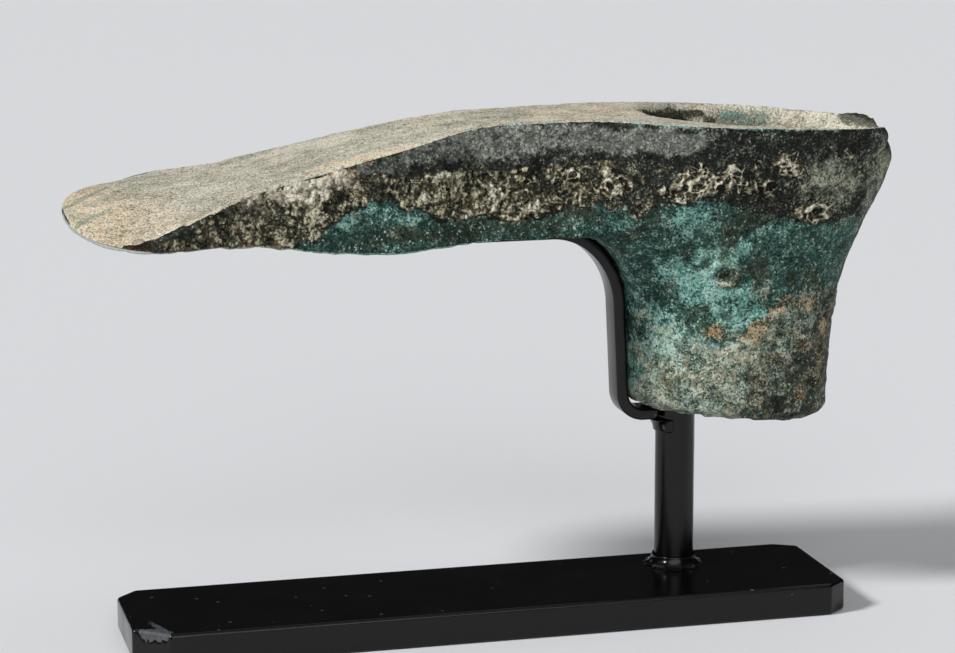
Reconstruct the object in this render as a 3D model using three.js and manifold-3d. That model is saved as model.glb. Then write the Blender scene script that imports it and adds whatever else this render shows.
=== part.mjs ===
// Socketed bronze adze resting on its black steel display mount.
// Millimetres, +Z up. The origin is the centre of the base plate's underside, +X runs
// along the plate towards the adze's butt, and the cutting edge points to -X.
import * as THREE from "three";
import { mergeVertices } from "three/addons/utils/BufferGeometryUtils.js";
import Module from "manifold-3d";

const wasm = await Module();
wasm.setup();

// Driving dimensions of the mount: flat bar, round bar and thin strip of stock sizes
const plate_length = 141.7;
const plate_width = 31.75;
const plate_thickness = 6.35;
const plate_arris = 0.5;
const post_diameter = 7.94;
const post_reach_into_bore = 23;
const post_from_centre = 41.6;
const post_behind_centre = 7.1;
const post_end_round = 1.2;
const strip_width = 6.35;
const strip_thickness = 2.4;
const strip_arris = 0.3;
const strip_reach_under_blade = 17;
const strip_bend_radius = 4.4;
const foot_weld_height = 1.9;
const foot_weld_spread = 1.2;
const strip_weld_height = 2.4;
const strip_weld_spread = 1.4;
const strip_weld_half_turn_degrees = 60;

// The four hand-cut corners of the plate, each as far along the length and across the width
const clip_back_left = { along: 3.9, across: 4.1 };
const clip_front_left = { along: 6.6, across: 5.6 };
const clip_back_right = { along: 4.8, across: 2.6 };
const clip_front_right = { along: 4.0, across: 3.1 };

// Driving dimensions of the adze, measured from an origin of its own in the middle of the
// collar's foot
const edge_reach = 131.4;
const butt_reach = 33.8;
const neck_thickness = 22.1;
const cutting_edge_width = 52;
const cutting_edge_rounding = 17.4;
const waist_width = 27.4;
const mouth_width = 45.8;
const mouth_inset_from_butt = 0.8;
const foot_half_length = 20.6;
const foot_width = 35;
const foot_rounding = 3.2;
const foot_fall = 3.5;
const front_flare = 1;
const collar_waist_width = 36.6;
const underside_height = 38.1;
const fillet_length = 15.2;
const fillet_height = 17.1;
const lip_rounding = 6.4;
const edge_rounding = 1.1;
const top_camber = 0.5;
const tip_twist_degrees = 6.4;
const tip_sway = 0.9;
const least_lip_flat = 6;

// The socket runs right through the collar
const foot_wall = 4.3;
const mouth_wall = 4.2;
const front_wall = 3.8;
const mouth_chamfer = 1.4;
const bore_overrun = 3;

// How the adze sits on the mount
const seat_gap = 0.3;
const post_behind_collar_front = 10.2;
const foot_above_ground = 38.9;

// Thickness of the blade, and of the collar above the neck's underside: place from the
// cutting edge (0) to the back of the butt (1), then a share of the neck's thickness
const thickness_shares = [
  [0, 0.029], [0.03, 0.083], [0.06, 0.138], [0.12, 0.251], [0.18, 0.415], [0.24, 0.583],
  [0.3, 0.74], [0.36, 0.865], [0.42, 0.935], [0.48, 0.981], [0.54, 0.994], [0.6, 1],
  [0.72, 0.959], [0.84, 0.91], [1, 0.842],
];
// Height of the underside: place, then a share of its height at the neck
const underside_shares = [
  [0, 1.151], [0.055, 1.128], [0.12, 1.098], [0.18, 1.058], [0.24, 1.018],
  [0.3, 0.985], [0.36, 0.972], [0.43, 0.988], [0.5, 1], [0.57, 1],
];
// Half width of the top face: place, then a share of half the cutting edge along the
// blade, of half the waist behind it, and of half the mouth round the socket
const blade_half_shares = [
  [0.1, 1], [0.13, 0.975], [0.15, 0.925], [0.18, 0.858], [0.21, 0.812], [0.24, 0.785],
  [0.3, 0.738], [0.36, 0.688], [0.42, 0.615],
];
const waist_half_shares = [[0.455, 1.03], [0.48, 1.005], [0.54, 1], [0.59, 1.05]];
const mouth_half_shares = [[0.63, 0.735], [0.66, 0.85], [0.69, 0.925], [0.72, 0.965], [0.78, 1]];
// Height of the blade's side facet: place, then a share of the blade's thickness
const facet_shares = [
  [0, 0.35], [0.066, 0.3], [0.081, 0.42], [0.1, 0.62], [0.12, 0.78], [0.15, 0.9], [0.2, 0.97], [0.3, 1],
];
// Reach of the collar's back: share of the head's height, then a share of the butt's reach
const back_line_shares = [
  [0, 0.592], [0.13, 0.605], [0.26, 0.622], [0.41, 0.668], [0.485, 0.714], [0.545, 0.757],
  [0.61, 0.81], [0.67, 0.868], [0.72, 0.918], [0.78, 0.967], [0.84, 1],
];
// Twist and sideways sway of the blade towards its cutting edge: place, then a share of
// their values at the tip
const twist_shares = [[0, 1], [0.06, 0.95], [0.12, 0.62], [0.15, 0.32], [0.2, 0]];
const collar_waist_share = 0.35;
const flank_slope_share = 0.2;
const corner_facet_share = 0.35;

// How the elbow's sections change from the flat-sided neck to the oval collar, as shares
// of the turn round the fillet
const sides_swollen_share = 0.4;
const inner_round_from_share = 0.1;
const inner_round_to_share = 0.7;
const outer_round_from_share = 0.3;
const outer_round_to_share = 0.75;

// Smoothness of the faceted solids, as counts
const tip_rows = 10;
const blade_rows = 20;
const elbow_rows = 38;
const collar_rows = 8;
const foot_rows = 4;
const flat_steps = 3;
const side_steps = 11;
const bore_rows = 8;
const bore_steps = 36;
const round_steps = 32;
const bend_steps = 8;
const weld_steps = 5;
const oval_power = 2.2;
const straight_power = 1;
const swollen_power = 1.8;
const outline_steps = 60;

// Sizes worked out from the driving dimensions
const adze_length = edge_reach + butt_reach;
const head_height = underside_height + neck_thickness;
const mouth_half_length = butt_reach - mouth_inset_from_butt;
const bore_front_reach = foot_half_length - front_wall;
const collar_axis_from_post = foot_half_length - post_behind_collar_front;
const post_radius = post_diameter / 2;
const collar_axis_from_centre = post_from_centre + collar_axis_from_post;
const fillet_end_x = -foot_half_length - front_flare;
const fillet_start_x = fillet_end_x - fillet_length;
const fillet_end_height = underside_height - fillet_height;
const edge_corner_x = cutting_edge_rounding - edge_reach;
const tip_slope = Math.tan(THREE.MathUtils.degToRad(tip_twist_degrees));
const lip_x = butt_reach - lip_rounding;

// Value of a table of [place, value] pairs at a place, as a smooth curve that never
// overshoots its points: a cubic between neighbours, with a gentle slope at each point
function along(table, place) {
  const last = table.length - 1;
  if (place <= table[0][0]) return table[0][1];
  if (place >= table[last][0]) return table[last][1];
  const rise = (i) => (table[i + 1][1] - table[i][1]) / (table[i + 1][0] - table[i][0]);
  const slope = (i) => {
    if (i === 0) return rise(0);
    if (i === last) return rise(last - 1);
    const before = rise(i - 1);
    const after = rise(i);
    return before * after <= 0 ? 0 : (2 * before * after) / (before + after);
  };
  let i = 0;
  while (place > table[i + 1][0]) i += 1;
  const span = table[i + 1][0] - table[i][0];
  const t = (place - table[i][0]) / span;
  const start = (1 + 2 * t) * (1 - t) ** 2 * table[i][1] + t * (1 - t) ** 2 * span * slope(i);
  const end = t * t * (3 - 2 * t) * table[i + 1][1] + t * t * (t - 1) * span * slope(i + 1);
  return start + end;
}

// Rises smoothly from 0 to 1 between two places
function ease(from, to, place) {
  const t = Math.min(1, Math.max(0, (place - from) / (to - from)));
  return t * t * (3 - 2 * t);
}

const mix = (from, to, share) => from + (to - from) * share;

// Outlines of the adze in its own frame: x along the blade, height above the foot. The
// underside's line goes on level through the collar, to carry the height of its top.
const place_of = (x) => (x + edge_reach) / adze_length;
const underside_at = (x) => underside_height * along(underside_shares, place_of(x));
const thickness_at = (x) => neck_thickness * along(thickness_shares, place_of(x));
const top_height = (x) => underside_at(x) + thickness_at(x);
const back_reach = (height) => butt_reach * along(back_line_shares, height / head_height);
const front_x = (height) => -foot_half_length - front_flare * (height / fillet_end_height);
const foot_height = (x) => (-foot_fall * x) / (2 * foot_half_length);
const lip_height = top_height(lip_x) - lip_rounding;

// Half width of the top face: a rounded cutting edge, the splayed blade, the narrow
// waist behind it and the oval mouth of the socket
const scaled = (table, width) => table.map(([place, share]) => [place, (share * width) / 2]);
const top_outline = [
  ...scaled(blade_half_shares, cutting_edge_width),
  ...scaled(waist_half_shares, waist_width),
  ...scaled(mouth_half_shares, mouth_width),
];
function top_half_width(x) {
  if (x < edge_corner_x) {
    const run = Math.min(1, (edge_corner_x - x) / cutting_edge_rounding);
    return (cutting_edge_width / 2) * Math.sqrt(1 - run * run);
  }
  if (place_of(x) < top_outline[top_outline.length - 1][0]) return along(top_outline, place_of(x));
  const share = Math.min(1, x / mouth_half_length);
  return (mouth_width / 2) * Math.sqrt(1 - share * share);
}

// Half width of the collar: narrow at the foot and wide at the mouth
const collar_outline = [
  [0, foot_width / 2], [collar_waist_share, collar_waist_width / 2], [1, mouth_width / 2],
];
const collar_half_width = (height) => along(collar_outline, height / head_height);

// Half width of the flat top at a point of the outer line; the back of the collar has none
const top_half_at = (point) => (point.y < lip_height ? 0 : top_half_width(point.x));

// The outer line from the neck along the top face, round the lip of the butt and down the
// back of the collar to the height where the fillet ends. Its points are evenly spaced along
// the edge of the top face, so they crowd where the mouth closes at the lip.
function outer_line(count) {
  const points = [];
  for (let i = 0; i <= outline_steps; i += 1) {
    const x = mix(fillet_start_x, lip_x, i / outline_steps);
    points.push(new THREE.Vector2(x, top_height(x)));
  }
  for (let i = 1; i <= outline_steps; i += 1) {
    const turn = (Math.PI / 2) * (i / outline_steps);
    const reach = lip_x + lip_rounding * Math.sin(turn);
    points.push(new THREE.Vector2(reach, lip_height + lip_rounding * Math.cos(turn)));
  }
  for (let i = 1; i <= outline_steps; i += 1) {
    const height = mix(lip_height, fillet_end_height, i / outline_steps);
    points.push(new THREE.Vector2(back_reach(height), height));
  }
  const run = [0];
  for (let i = 1; i < points.length; i += 1) {
    const widening = top_half_at(points[i]) - top_half_at(points[i - 1]);
    run.push(run[i - 1] + Math.hypot(points[i].distanceTo(points[i - 1]), widening));
  }
  const total = run[run.length - 1];
  const spaced = [];
  for (let i = 0, k = 0; i <= count; i += 1) {
    const goal = (total * i) / count;
    while (k < run.length - 2 && run[k + 1] < goal) k += 1;
    spaced.push(points[k].clone().lerp(points[k + 1], (goal - run[k]) / (run[k + 1] - run[k])));
  }
  return spaced;
}

// One closed section of the adze. It lies across the profile from an inner point on the
// underside or the collar's front to an outer point on the top face or the collar's back.
// The points go from the middle of the inner end along the near side to the middle of the
// outer end, and back along the far side. Each end is flat or round by its roundness, and
// its nose share moves the points of its flat on to the curve as the flat closes.
function section(row) {
  const { inner, outer, inner_half, middle_half, outer_half, inner_nose, outer_nose } = row;
  const tall = inner.distanceTo(outer);
  const facet = mix(row.facet, 1, outer_nose);
  const corner = (flat) => Math.min(edge_rounding, flat / 2, tall * facet * corner_facet_share);
  const inner_corner = corner(inner_half);
  const outer_corner = corner(outer_half);
  const fall = (reach, round) =>
    mix(reach ** row.power, 1 - (1 - reach ** oval_power) ** (1 / oval_power), round);
  const eased = (gap, radius) => {
    if (gap >= radius) return 0;
    return radius * (1 - Math.sqrt(1 - (1 - gap / radius) ** 2));
  };
  const half_at = (share) => {
    const reach = Math.abs(2 * share - 1);
    const flat = share < 0.5 ? inner_half : outer_half;
    const bare = mix(middle_half, flat, fall(reach, share < 0.5 ? row.inner_round : row.outer_round));
    const gap = tall * facet * Math.min(share, 1 - share);
    return bare - eased(gap, share < 0.5 ? inner_corner : outer_corner);
  };
  const first = flat_steps * (1 - inner_nose);
  const steps = 2 * flat_steps + side_steps;
  const last = steps - Math.round(flat_steps * (1 - outer_nose));
  const near = [];
  for (let i = 0; i <= steps; i += 1) {
    if (i < first) {
      near.push([0, ((inner_half - inner_corner) * i) / first]);
    } else if (i > last) {
      const left = (steps - i) / (steps - last);
      near.push([1 - (1 - facet) * left ** 2, (outer_half - outer_corner) * left]);
    } else {
      const share = (1 - Math.cos((Math.PI * (i - first)) / (last - first))) / 2;
      near.push([facet * share, half_at(share)]);
    }
  }
  const place = (share, y) => {
    const point = inner.clone().lerp(outer, share);
    return new THREE.Vector3(point.x, y - row.sway, point.y + y * row.slope);
  };
  const far = near.slice(1, -1).reverse();
  return [...near.map(([share, y]) => place(share, -y)), ...far.map(([share, y]) => place(share, y))];
}

// Sections of the blade, square to it, closer together round the cutting edge
function blade_sections() {
  const places = [];
  for (let i = 0; i < tip_rows; i += 1) {
    const turn = (Math.PI / 2) * (i / tip_rows);
    places.push(edge_corner_x - cutting_edge_rounding * Math.cos(turn));
  }
  for (let i = 0; i < blade_rows; i += 1) places.push(mix(edge_corner_x, fillet_start_x, i / blade_rows));
  return places.map((x) => section(blade_row(x)));
}

function blade_row(x) {
  const low = underside_at(x);
  const high = top_height(x);
  const facet = Math.min(along(facet_shares, place_of(x)), 1 - top_camber / (high - low));
  const outer_half = Math.max(top_half_width(x), top_camber);
  const bend = along(twist_shares, place_of(x));
  const inner_half = outer_half + flank_slope_share * facet * (high - low);
  return {
    inner: new THREE.Vector2(x, low),
    outer: new THREE.Vector2(x, high),
    inner_half: x < edge_corner_x ? Math.min(inner_half, outer_half * (1 + facet)) : inner_half,
    middle_half: (inner_half + outer_half) / 2,
    outer_half,
    inner_round: 0,
    outer_round: 0,
    inner_nose: 0,
    outer_nose: 0,
    power: straight_power,
    facet,
    slope: tip_slope * bend,
    sway: tip_sway * bend,
  };
}

// Sections that fan round the fillet, from the neck to the collar
function elbow_sections() {
  const neck = blade_row(fillet_start_x);
  return outer_line(elbow_rows).map((outer, i) => {
    const turned = i / elbow_rows;
    const turn = (Math.PI / 2) * turned;
    const inner = new THREE.Vector2(
      fillet_start_x + fillet_length * Math.sin(turn),
      underside_height - fillet_height * (1 - Math.cos(turn)),
    );
    const middle_height = (inner.y + outer.y) / 2;
    const swollen = ease(0, sides_swollen_share, turned);
    const closing = ease(0, 1, turned);
    const outer_half = top_half_at(outer);
    return section({
      inner,
      outer,
      inner_half: neck.inner_half * (1 - closing),
      middle_half: mix(neck.middle_half, collar_half_width(middle_height), swollen),
      outer_half,
      inner_round: ease(inner_round_from_share, inner_round_to_share, turned),
      outer_round: ease(outer_round_from_share, outer_round_to_share, turned),
      inner_nose: closing,
      outer_nose: 1 - Math.min(1, outer_half / least_lip_flat),
      power: mix(straight_power, swollen_power, swollen),
      facet: 1 - top_camber / inner.distanceTo(outer),
      slope: 0,
      sway: 0,
    });
  });
}

// Sections of the collar below the fillet, ending in the rounded rim of the foot
function collar_sections() {
  const rows = [];
  const front_foot = foot_height(-foot_half_length) + foot_rounding;
  const back_foot = foot_height(foot_half_length) + foot_rounding;
  const row = (front, back, inset, drop) => ({
    inner: new THREE.Vector2(front_x(front) + inset, front - drop),
    outer: new THREE.Vector2(back_reach(back) - inset, back - drop),
    inner_half: 0,
    middle_half: collar_half_width((front + back) / 2) - inset,
    outer_half: 0,
    inner_round: 1,
    outer_round: 1,
    inner_nose: 1,
    outer_nose: 1,
    power: swollen_power,
    facet: 1,
    slope: 0,
    sway: 0,
  });
  for (let i = 1; i <= collar_rows; i += 1) {
    const share = i / collar_rows;
    const front = mix(fillet_end_height, front_foot, share);
    rows.push(row(front, mix(fillet_end_height, back_foot, share), 0, 0));
  }
  for (let i = 1; i <= foot_rows; i += 1) {
    const turn = (Math.PI / 2) * (i / foot_rows);
    const inset = foot_rounding * (1 - Math.cos(turn));
    rows.push(row(front_foot, back_foot, inset, foot_rounding * Math.sin(turn)));
  }
  return rows.map(section);
}

// Closed skin over a row of sections with the same number of points. Each four-cornered
// patch is split in two, and the far half's patches mirror the near half's. The end
// function gives the faces that close one section, turned round at the last one.
function skin(sections, end) {
  const count = sections[0].length;
  const faces = [];
  for (let i = 0; i + 1 < sections.length; i += 1) {
    for (let j = 0; j < count; j += 1) {
      const a = i * count + j;
      const b = i * count + ((j + 1) % count);
      if (j < count / 2) faces.push(a, b, b + count, a, b + count, a + count);
      else faces.push(a, b, a + count, b, b + count, a + count);
    }
  }
  const base = (sections.length - 1) * count;
  for (const [a, b, c] of end(count)) faces.push(a, c, b, base + a, base + b, base + c);
  const geometry = new THREE.BufferGeometry();
  const corners = sections.flat().flatMap((point) => [point.x, point.y, point.z]);
  geometry.setAttribute("position", new THREE.Float32BufferAttribute(corners, 3));
  geometry.setIndex(faces);
  return facing_out(geometry);
}

// Faces across a section that is mirrored about its first point, as rungs of a ladder
function ladder(count) {
  const faces = [];
  for (let j = 0; j < count / 2; j += 1) {
    const far = (count - j) % count;
    const next_far = count - j - 1;
    if (next_far !== j + 1) faces.push([j, j + 1, next_far]);
    if (far !== j) faces.push([j, next_far, far]);
  }
  return faces;
}

// Faces across a section whose first point sees all the others
function fan(count) {
  const faces = [];
  for (let j = 1; j + 1 < count; j += 1) faces.push([0, j, j + 1]);
  return faces;
}

// Turns every face round if the faces enclose a negative volume
function facing_out(geometry) {
  const place = geometry.getAttribute("position");
  const index = geometry.getIndex();
  const corner = [new THREE.Vector3(), new THREE.Vector3(), new THREE.Vector3()];
  let volume = 0;
  for (let i = 0; i < index.count; i += 3) {
    corner.forEach((point, k) => point.fromBufferAttribute(place, index.getX(i + k)));
    volume += corner[0].dot(corner[1].clone().cross(corner[2])) / 6;
  }
  if (volume < 0) {
    for (let i = 0; i < index.count; i += 3) {
      const second = index.getX(i + 1);
      index.setX(i + 1, index.getX(i + 2));
      index.setX(i + 2, second);
    }
  }
  return geometry;
}

// The oval bore, following the collar's walls from the foot to the mouth, with a chamfer
// at the mouth and running past both faces
function bore_cutter() {
  const ring = (share, chamfer) => {
    const level = (x) => mix(foot_height(x), top_height(x), share);
    const height = mix(0, head_height, Math.min(1, Math.max(0, share)));
    const wall = mix(foot_wall, mouth_wall, Math.min(1, Math.max(0, share)));
    const back = back_reach(height) - wall + chamfer;
    const front = -bore_front_reach - chamfer;
    const half = collar_half_width(height) - wall + chamfer;
    const points = [];
    for (let i = 0; i < bore_steps; i += 1) {
      const turn = (2 * Math.PI * i) / bore_steps;
      const across = Math.sign(Math.sin(turn)) * Math.abs(Math.sin(turn)) ** (2 / oval_power);
      const ahead = Math.sign(Math.cos(turn)) * Math.abs(Math.cos(turn)) ** (2 / oval_power);
      const x = (front + back) / 2 + (ahead * (back - front)) / 2;
      points.push(new THREE.Vector3(x, half * across, level(x)));
    }
    return points;
  };
  const overrun_share = bore_overrun / head_height;
  const chamfer_share = mouth_chamfer / head_height;
  const rings = [ring(-overrun_share, 0)];
  for (let i = 0; i <= bore_rows; i += 1) rings.push(ring(mix(0, 1 - chamfer_share, i / bore_rows), 0));
  rings.push(ring(1, mouth_chamfer), ring(1 + overrun_share, mouth_chamfer + bore_overrun));
  return skin(rings, fan);
}

// Closed mesh to a solid for cutting, and back
function to_solid(geometry) {
  const bare = geometry.clone();
  bare.deleteAttribute("normal");
  bare.deleteAttribute("uv");
  const merged = mergeVertices(bare);
  return new wasm.Manifold(
    new wasm.Mesh({
      numProp: 3,
      vertProperties: new Float32Array(merged.getAttribute("position").array),
      triVerts: new Uint32Array(merged.getIndex().array),
    }),
  );
}

function to_geometry(solid) {
  const mesh = solid.getMesh();
  const geometry = new THREE.BufferGeometry();
  geometry.setAttribute("position", new THREE.Float32BufferAttribute(mesh.vertProperties, mesh.numProp));
  geometry.setIndex(Array.from(mesh.triVerts));
  return geometry;
}

// One casting: blade, neck and collar in one skin, with the socket cut through it
function adze_geometry() {
  const body = skin([...blade_sections(), ...elbow_sections(), ...collar_sections()], ladder);
  return to_geometry(to_solid(body).subtract(to_solid(bore_cutter())));
}

// Flat bar with its four corners cut off and its edges eased
function plate_geometry() {
  const end = plate_length / 2;
  const side = plate_width / 2;
  const corners = [
    [-end, -side, clip_front_left, 1, 1],
    [end, -side, clip_front_right, -1, 1],
    [end, side, clip_back_right, -1, -1],
    [-end, side, clip_back_left, 1, -1],
  ];
  const outline = corners.flatMap(([x, y, clip, inward_x, inward_y], i) => {
    const across = new THREE.Vector2(x, y + inward_y * clip.across);
    const lengthwise = new THREE.Vector2(x + inward_x * clip.along, y);
    return i % 2 === 0 ? [across, lengthwise] : [lengthwise, across];
  });
  return new THREE.ExtrudeGeometry(new THREE.Shape(outline), {
    depth: plate_thickness - 2 * plate_arris,
    bevelThickness: plate_arris,
    bevelSize: plate_arris,
    bevelOffset: -plate_arris,
    bevelSegments: 2,
  }).translate(0, 0, plate_arris);
}

// Heights of the strip's lower run, which passes just under the collar's foot at the post
const foot_at_post = foot_above_ground + foot_height(-collar_axis_from_post);
const run_top = foot_at_post - seat_gap;
const run_bottom = run_top - strip_thickness;

// Round bar standing on the plate and reaching up into the socket
function post_geometry() {
  const tall = foot_at_post + post_reach_into_bore - plate_thickness - seat_gap;
  const profile = [new THREE.Vector2(0, 0), new THREE.Vector2(post_radius, 0)];
  for (let i = 0; i <= weld_steps; i += 1) {
    const turn = (Math.PI / 2) * (i / weld_steps);
    const inset = post_end_round * (1 - Math.cos(turn));
    profile.push(new THREE.Vector2(post_radius - inset, tall - post_end_round * (1 - Math.sin(turn))));
  }
  profile.push(new THREE.Vector2(0, tall));
  return new THREE.LatheGeometry(profile, round_steps).rotateX(Math.PI / 2);
}

// Weld bead round the foot of the post: a hollow fillet turned about the post
function foot_weld_geometry() {
  const bore = post_radius + seat_gap;
  const profile = [new THREE.Vector2(bore, 0), new THREE.Vector2(bore + foot_weld_spread, 0)];
  for (let i = 1; i < weld_steps; i += 1) {
    const turn = (Math.PI / 2) * (i / weld_steps);
    const reach = foot_weld_spread * (1 - Math.sin(turn));
    profile.push(new THREE.Vector2(bore + reach, foot_weld_height * (1 - Math.cos(turn))));
  }
  profile.push(new THREE.Vector2(bore, foot_weld_height), new THREE.Vector2(bore, 0));
  return new THREE.LatheGeometry(profile, round_steps).rotateX(Math.PI / 2);
}

// Weld under the strip's end: half a hollow fillet on the post, on the side of the strip
function strip_weld_geometry() {
  const bore = post_radius + seat_gap;
  const half_turn = THREE.MathUtils.degToRad(strip_weld_half_turn_degrees);
  const sections = [];
  for (let i = 0; i <= 2 * weld_steps; i += 1) {
    const turn = mix(-half_turn, half_turn, i / (2 * weld_steps));
    const spread = strip_weld_spread * Math.cos(turn) ** 2;
    const profile = [[bore, 0], [bore, -strip_weld_height]];
    for (let k = 1; k <= weld_steps; k += 1) {
      const bend = (Math.PI / 2) * (k / weld_steps);
      const reach = bore + seat_gap + spread * (1 - Math.cos(bend));
      profile.push([reach, -strip_weld_height * (1 - Math.sin(bend))]);
    }
    const point = ([reach, height]) =>
      new THREE.Vector3(-reach * Math.cos(turn), reach * Math.sin(turn), height);
    sections.push(profile.map(point));
  }
  return skin(sections, fan);
}

// Thin flat bar bent to the adze: along the underside, through the fillet, down the front
// of the collar, then round under the foot to the post
function strip_geometry() {
  const face = (gap) => {
    const points = [];
    const step = (x, height, out_x, out_height) => {
      points.push(new THREE.Vector2(x + out_x * gap, foot_above_ground + height + out_height * gap));
    };
    for (let i = 0; i < bend_steps; i += 1) {
      const x = fillet_start_x - strip_reach_under_blade * (1 - i / bend_steps);
      step(x, underside_at(x), 0, -1);
    }
    for (let i = 0; i <= 2 * bend_steps; i += 1) {
      const turn = (Math.PI / 2) * (i / (2 * bend_steps));
      const out = new THREE.Vector2(-Math.sin(turn) / fillet_length, -Math.cos(turn) / fillet_height);
      out.normalize();
      const x = fillet_start_x + fillet_length * Math.sin(turn);
      step(x, underside_height - fillet_height * (1 - Math.cos(turn)), out.x, out.y);
    }
    const inner_radius = strip_bend_radius - strip_thickness / 2;
    const bend_height = run_top + inner_radius - foot_above_ground;
    const centre_x = front_x(bend_height) - seat_gap + inner_radius;
    const radius = inner_radius + gap - seat_gap;
    for (let i = 0; i <= bend_steps; i += 1) {
      const turn = (Math.PI / 2) * (i / bend_steps);
      const drop = bend_height - radius * Math.sin(turn);
      points.push(new THREE.Vector2(centre_x - radius * Math.cos(turn), foot_above_ground + drop));
    }
    const end_x = -collar_axis_from_post - post_radius - seat_gap;
    points.push(new THREE.Vector2(end_x, run_top - gap + seat_gap));
    return points;
  };
  const outline = [...face(seat_gap), ...face(seat_gap + strip_thickness).reverse()];
  return new THREE.ExtrudeGeometry(new THREE.Shape(outline), {
    depth: strip_width - 2 * strip_arris,
    bevelThickness: strip_arris,
    bevelSize: strip_arris,
    bevelOffset: -strip_arris,
    bevelSegments: 1,
  })
    .rotateX(Math.PI / 2)
    .translate(0, strip_width / 2 - strip_arris, 0);
}

const bronze = new THREE.MeshStandardMaterial({ color: 0x4a6f63, roughness: 0.75, metalness: 0.4 });
const black_paint = new THREE.MeshStandardMaterial({ color: 0x0d0d0f, roughness: 0.35, metalness: 0 });

function node(name, geometry, material, x, y, z) {
  const mesh = new THREE.Mesh(geometry, material);
  mesh.name = name;
  mesh.position.set(x, y, z);
  return mesh;
}

const above_plate = plate_thickness + seat_gap;
const under_run = run_bottom - seat_gap;
const adze_height = foot_above_ground;

const mount = new THREE.Group();
mount.add(
  node("base_plate", plate_geometry(), black_paint, 0, 0, 0),
  node("post", post_geometry(), black_paint, post_from_centre, post_behind_centre, above_plate),
  node("foot_weld", foot_weld_geometry(), black_paint, post_from_centre, post_behind_centre, above_plate),
  node("support_strip", strip_geometry(), black_paint, collar_axis_from_centre, post_behind_centre, 0),
  node("strip_weld", strip_weld_geometry(), black_paint, post_from_centre, post_behind_centre, under_run),
);

const model = new THREE.Group();
model.add(
  mount,
  node("adze_head", adze_geometry(), bronze, collar_axis_from_centre, post_behind_centre, adze_height),
);

export default model;
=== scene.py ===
"""Socketed bronze adze on its black steel display mount.

The packed solids give the sizes and places. Each piece here is a surface worked out from
formulas and dressed with a procedural finish: buried-bronze patina on the adze, and thick
black paint over welded bar on the mount.
"""

import math

import bpy
import numpy as np
from mathutils import Matrix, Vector
from mathutils.bvhtree import BVHTree


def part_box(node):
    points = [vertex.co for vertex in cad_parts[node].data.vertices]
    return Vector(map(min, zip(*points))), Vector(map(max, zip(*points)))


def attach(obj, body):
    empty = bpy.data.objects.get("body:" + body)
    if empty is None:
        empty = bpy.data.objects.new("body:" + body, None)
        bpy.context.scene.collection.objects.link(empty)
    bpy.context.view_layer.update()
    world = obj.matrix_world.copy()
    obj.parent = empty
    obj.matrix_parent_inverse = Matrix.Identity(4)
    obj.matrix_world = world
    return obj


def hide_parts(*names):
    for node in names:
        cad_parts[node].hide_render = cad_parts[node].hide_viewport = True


bl_info = {
    "name": "Socketed Adze on a Display Mount",
    "version": (1, 0, 0),
    "blender": (4, 5, 0),
    "location": "3D View > Sidebar > Adze",
    "description": "Builds a patinated bronze adze, its steel mount and a plain studio",
    "category": "Add Mesh",
}

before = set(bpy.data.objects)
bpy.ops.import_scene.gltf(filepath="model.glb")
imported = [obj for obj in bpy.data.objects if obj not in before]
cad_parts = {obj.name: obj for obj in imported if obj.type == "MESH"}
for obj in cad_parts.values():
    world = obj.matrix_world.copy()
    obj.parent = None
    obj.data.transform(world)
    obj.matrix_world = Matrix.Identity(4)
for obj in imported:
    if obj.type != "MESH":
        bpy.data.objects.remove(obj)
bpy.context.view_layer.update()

MM = 0.001

# Places of the mount's pieces in the packed frame, and of the adze's own origin, which is in the
# middle of the collar's foot
head_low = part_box("adze_head")[0]
post_low, post_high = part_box("post")
plate_low, plate_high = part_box("base_plate")
post_x = (post_low.x + post_high.x) / 2
post_y = (post_low.y + post_high.y) / 2
post_radius = (post_high.x - post_low.x) / 2
COLLAR_BEHIND_POST = 10.4 * MM
FOOT_FALL = 3.5 * MM
adze_origin = np.array([post_x + COLLAR_BEHIND_POST, post_y, head_low.z + FOOT_FALL / 2])

# The adze's outline as shares of its driving sizes, from the cutting edge (0) to the butt (1).
# Thickness as a share of the neck's, and the underside's height as a share of the neck's
thickness_shares = [
    [0, 0.073], [0.03, 0.112], [0.06, 0.155], [0.12, 0.251], [0.18, 0.415], [0.24, 0.583],
    [0.3, 0.74], [0.36, 0.865], [0.42, 0.935], [0.48, 0.981], [0.54, 0.994], [0.6, 1],
    [0.72, 0.959], [0.84, 0.91], [1, 0.842],
]
underside_shares = [
    [0, 1.128], [0.055, 1.117], [0.12, 1.098], [0.18, 1.058], [0.24, 1.018],
    [0.3, 0.985], [0.36, 0.972], [0.43, 0.988], [0.5, 1], [0.57, 1],
]

# Half widths of the top face, as shares of half the cutting edge, the waist and the mouth
blade_half_shares = [
    [0.1, 1], [0.13, 0.975], [0.15, 0.925], [0.18, 0.858], [0.21, 0.812], [0.24, 0.785],
    [0.3, 0.738], [0.36, 0.688], [0.42, 0.615],
]
waist_half_shares = [[0.455, 1.03], [0.48, 1.005], [0.54, 1], [0.59, 1.05]]
mouth_half_shares = [[0.63, 0.735], [0.66, 0.85], [0.69, 0.925], [0.72, 0.965], [0.78, 1]]

# How much of a section's height its flank takes: the rest is the crown of the top face
facet_shares = [
    [0, 0.35], [0.066, 0.3], [0.081, 0.42], [0.1, 0.62], [0.12, 0.78], [0.15, 0.9],
    [0.2, 0.97], [0.3, 1],
]

# Reach of the collar's back from the foot (0) to the top (1), as a share of the butt's reach
back_line_shares = [
    [0, 0.604], [0.13, 0.618], [0.26, 0.635], [0.41, 0.68], [0.485, 0.722], [0.545, 0.763],
    [0.61, 0.813], [0.67, 0.868], [0.72, 0.918], [0.78, 0.967], [0.84, 1],
]

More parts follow.
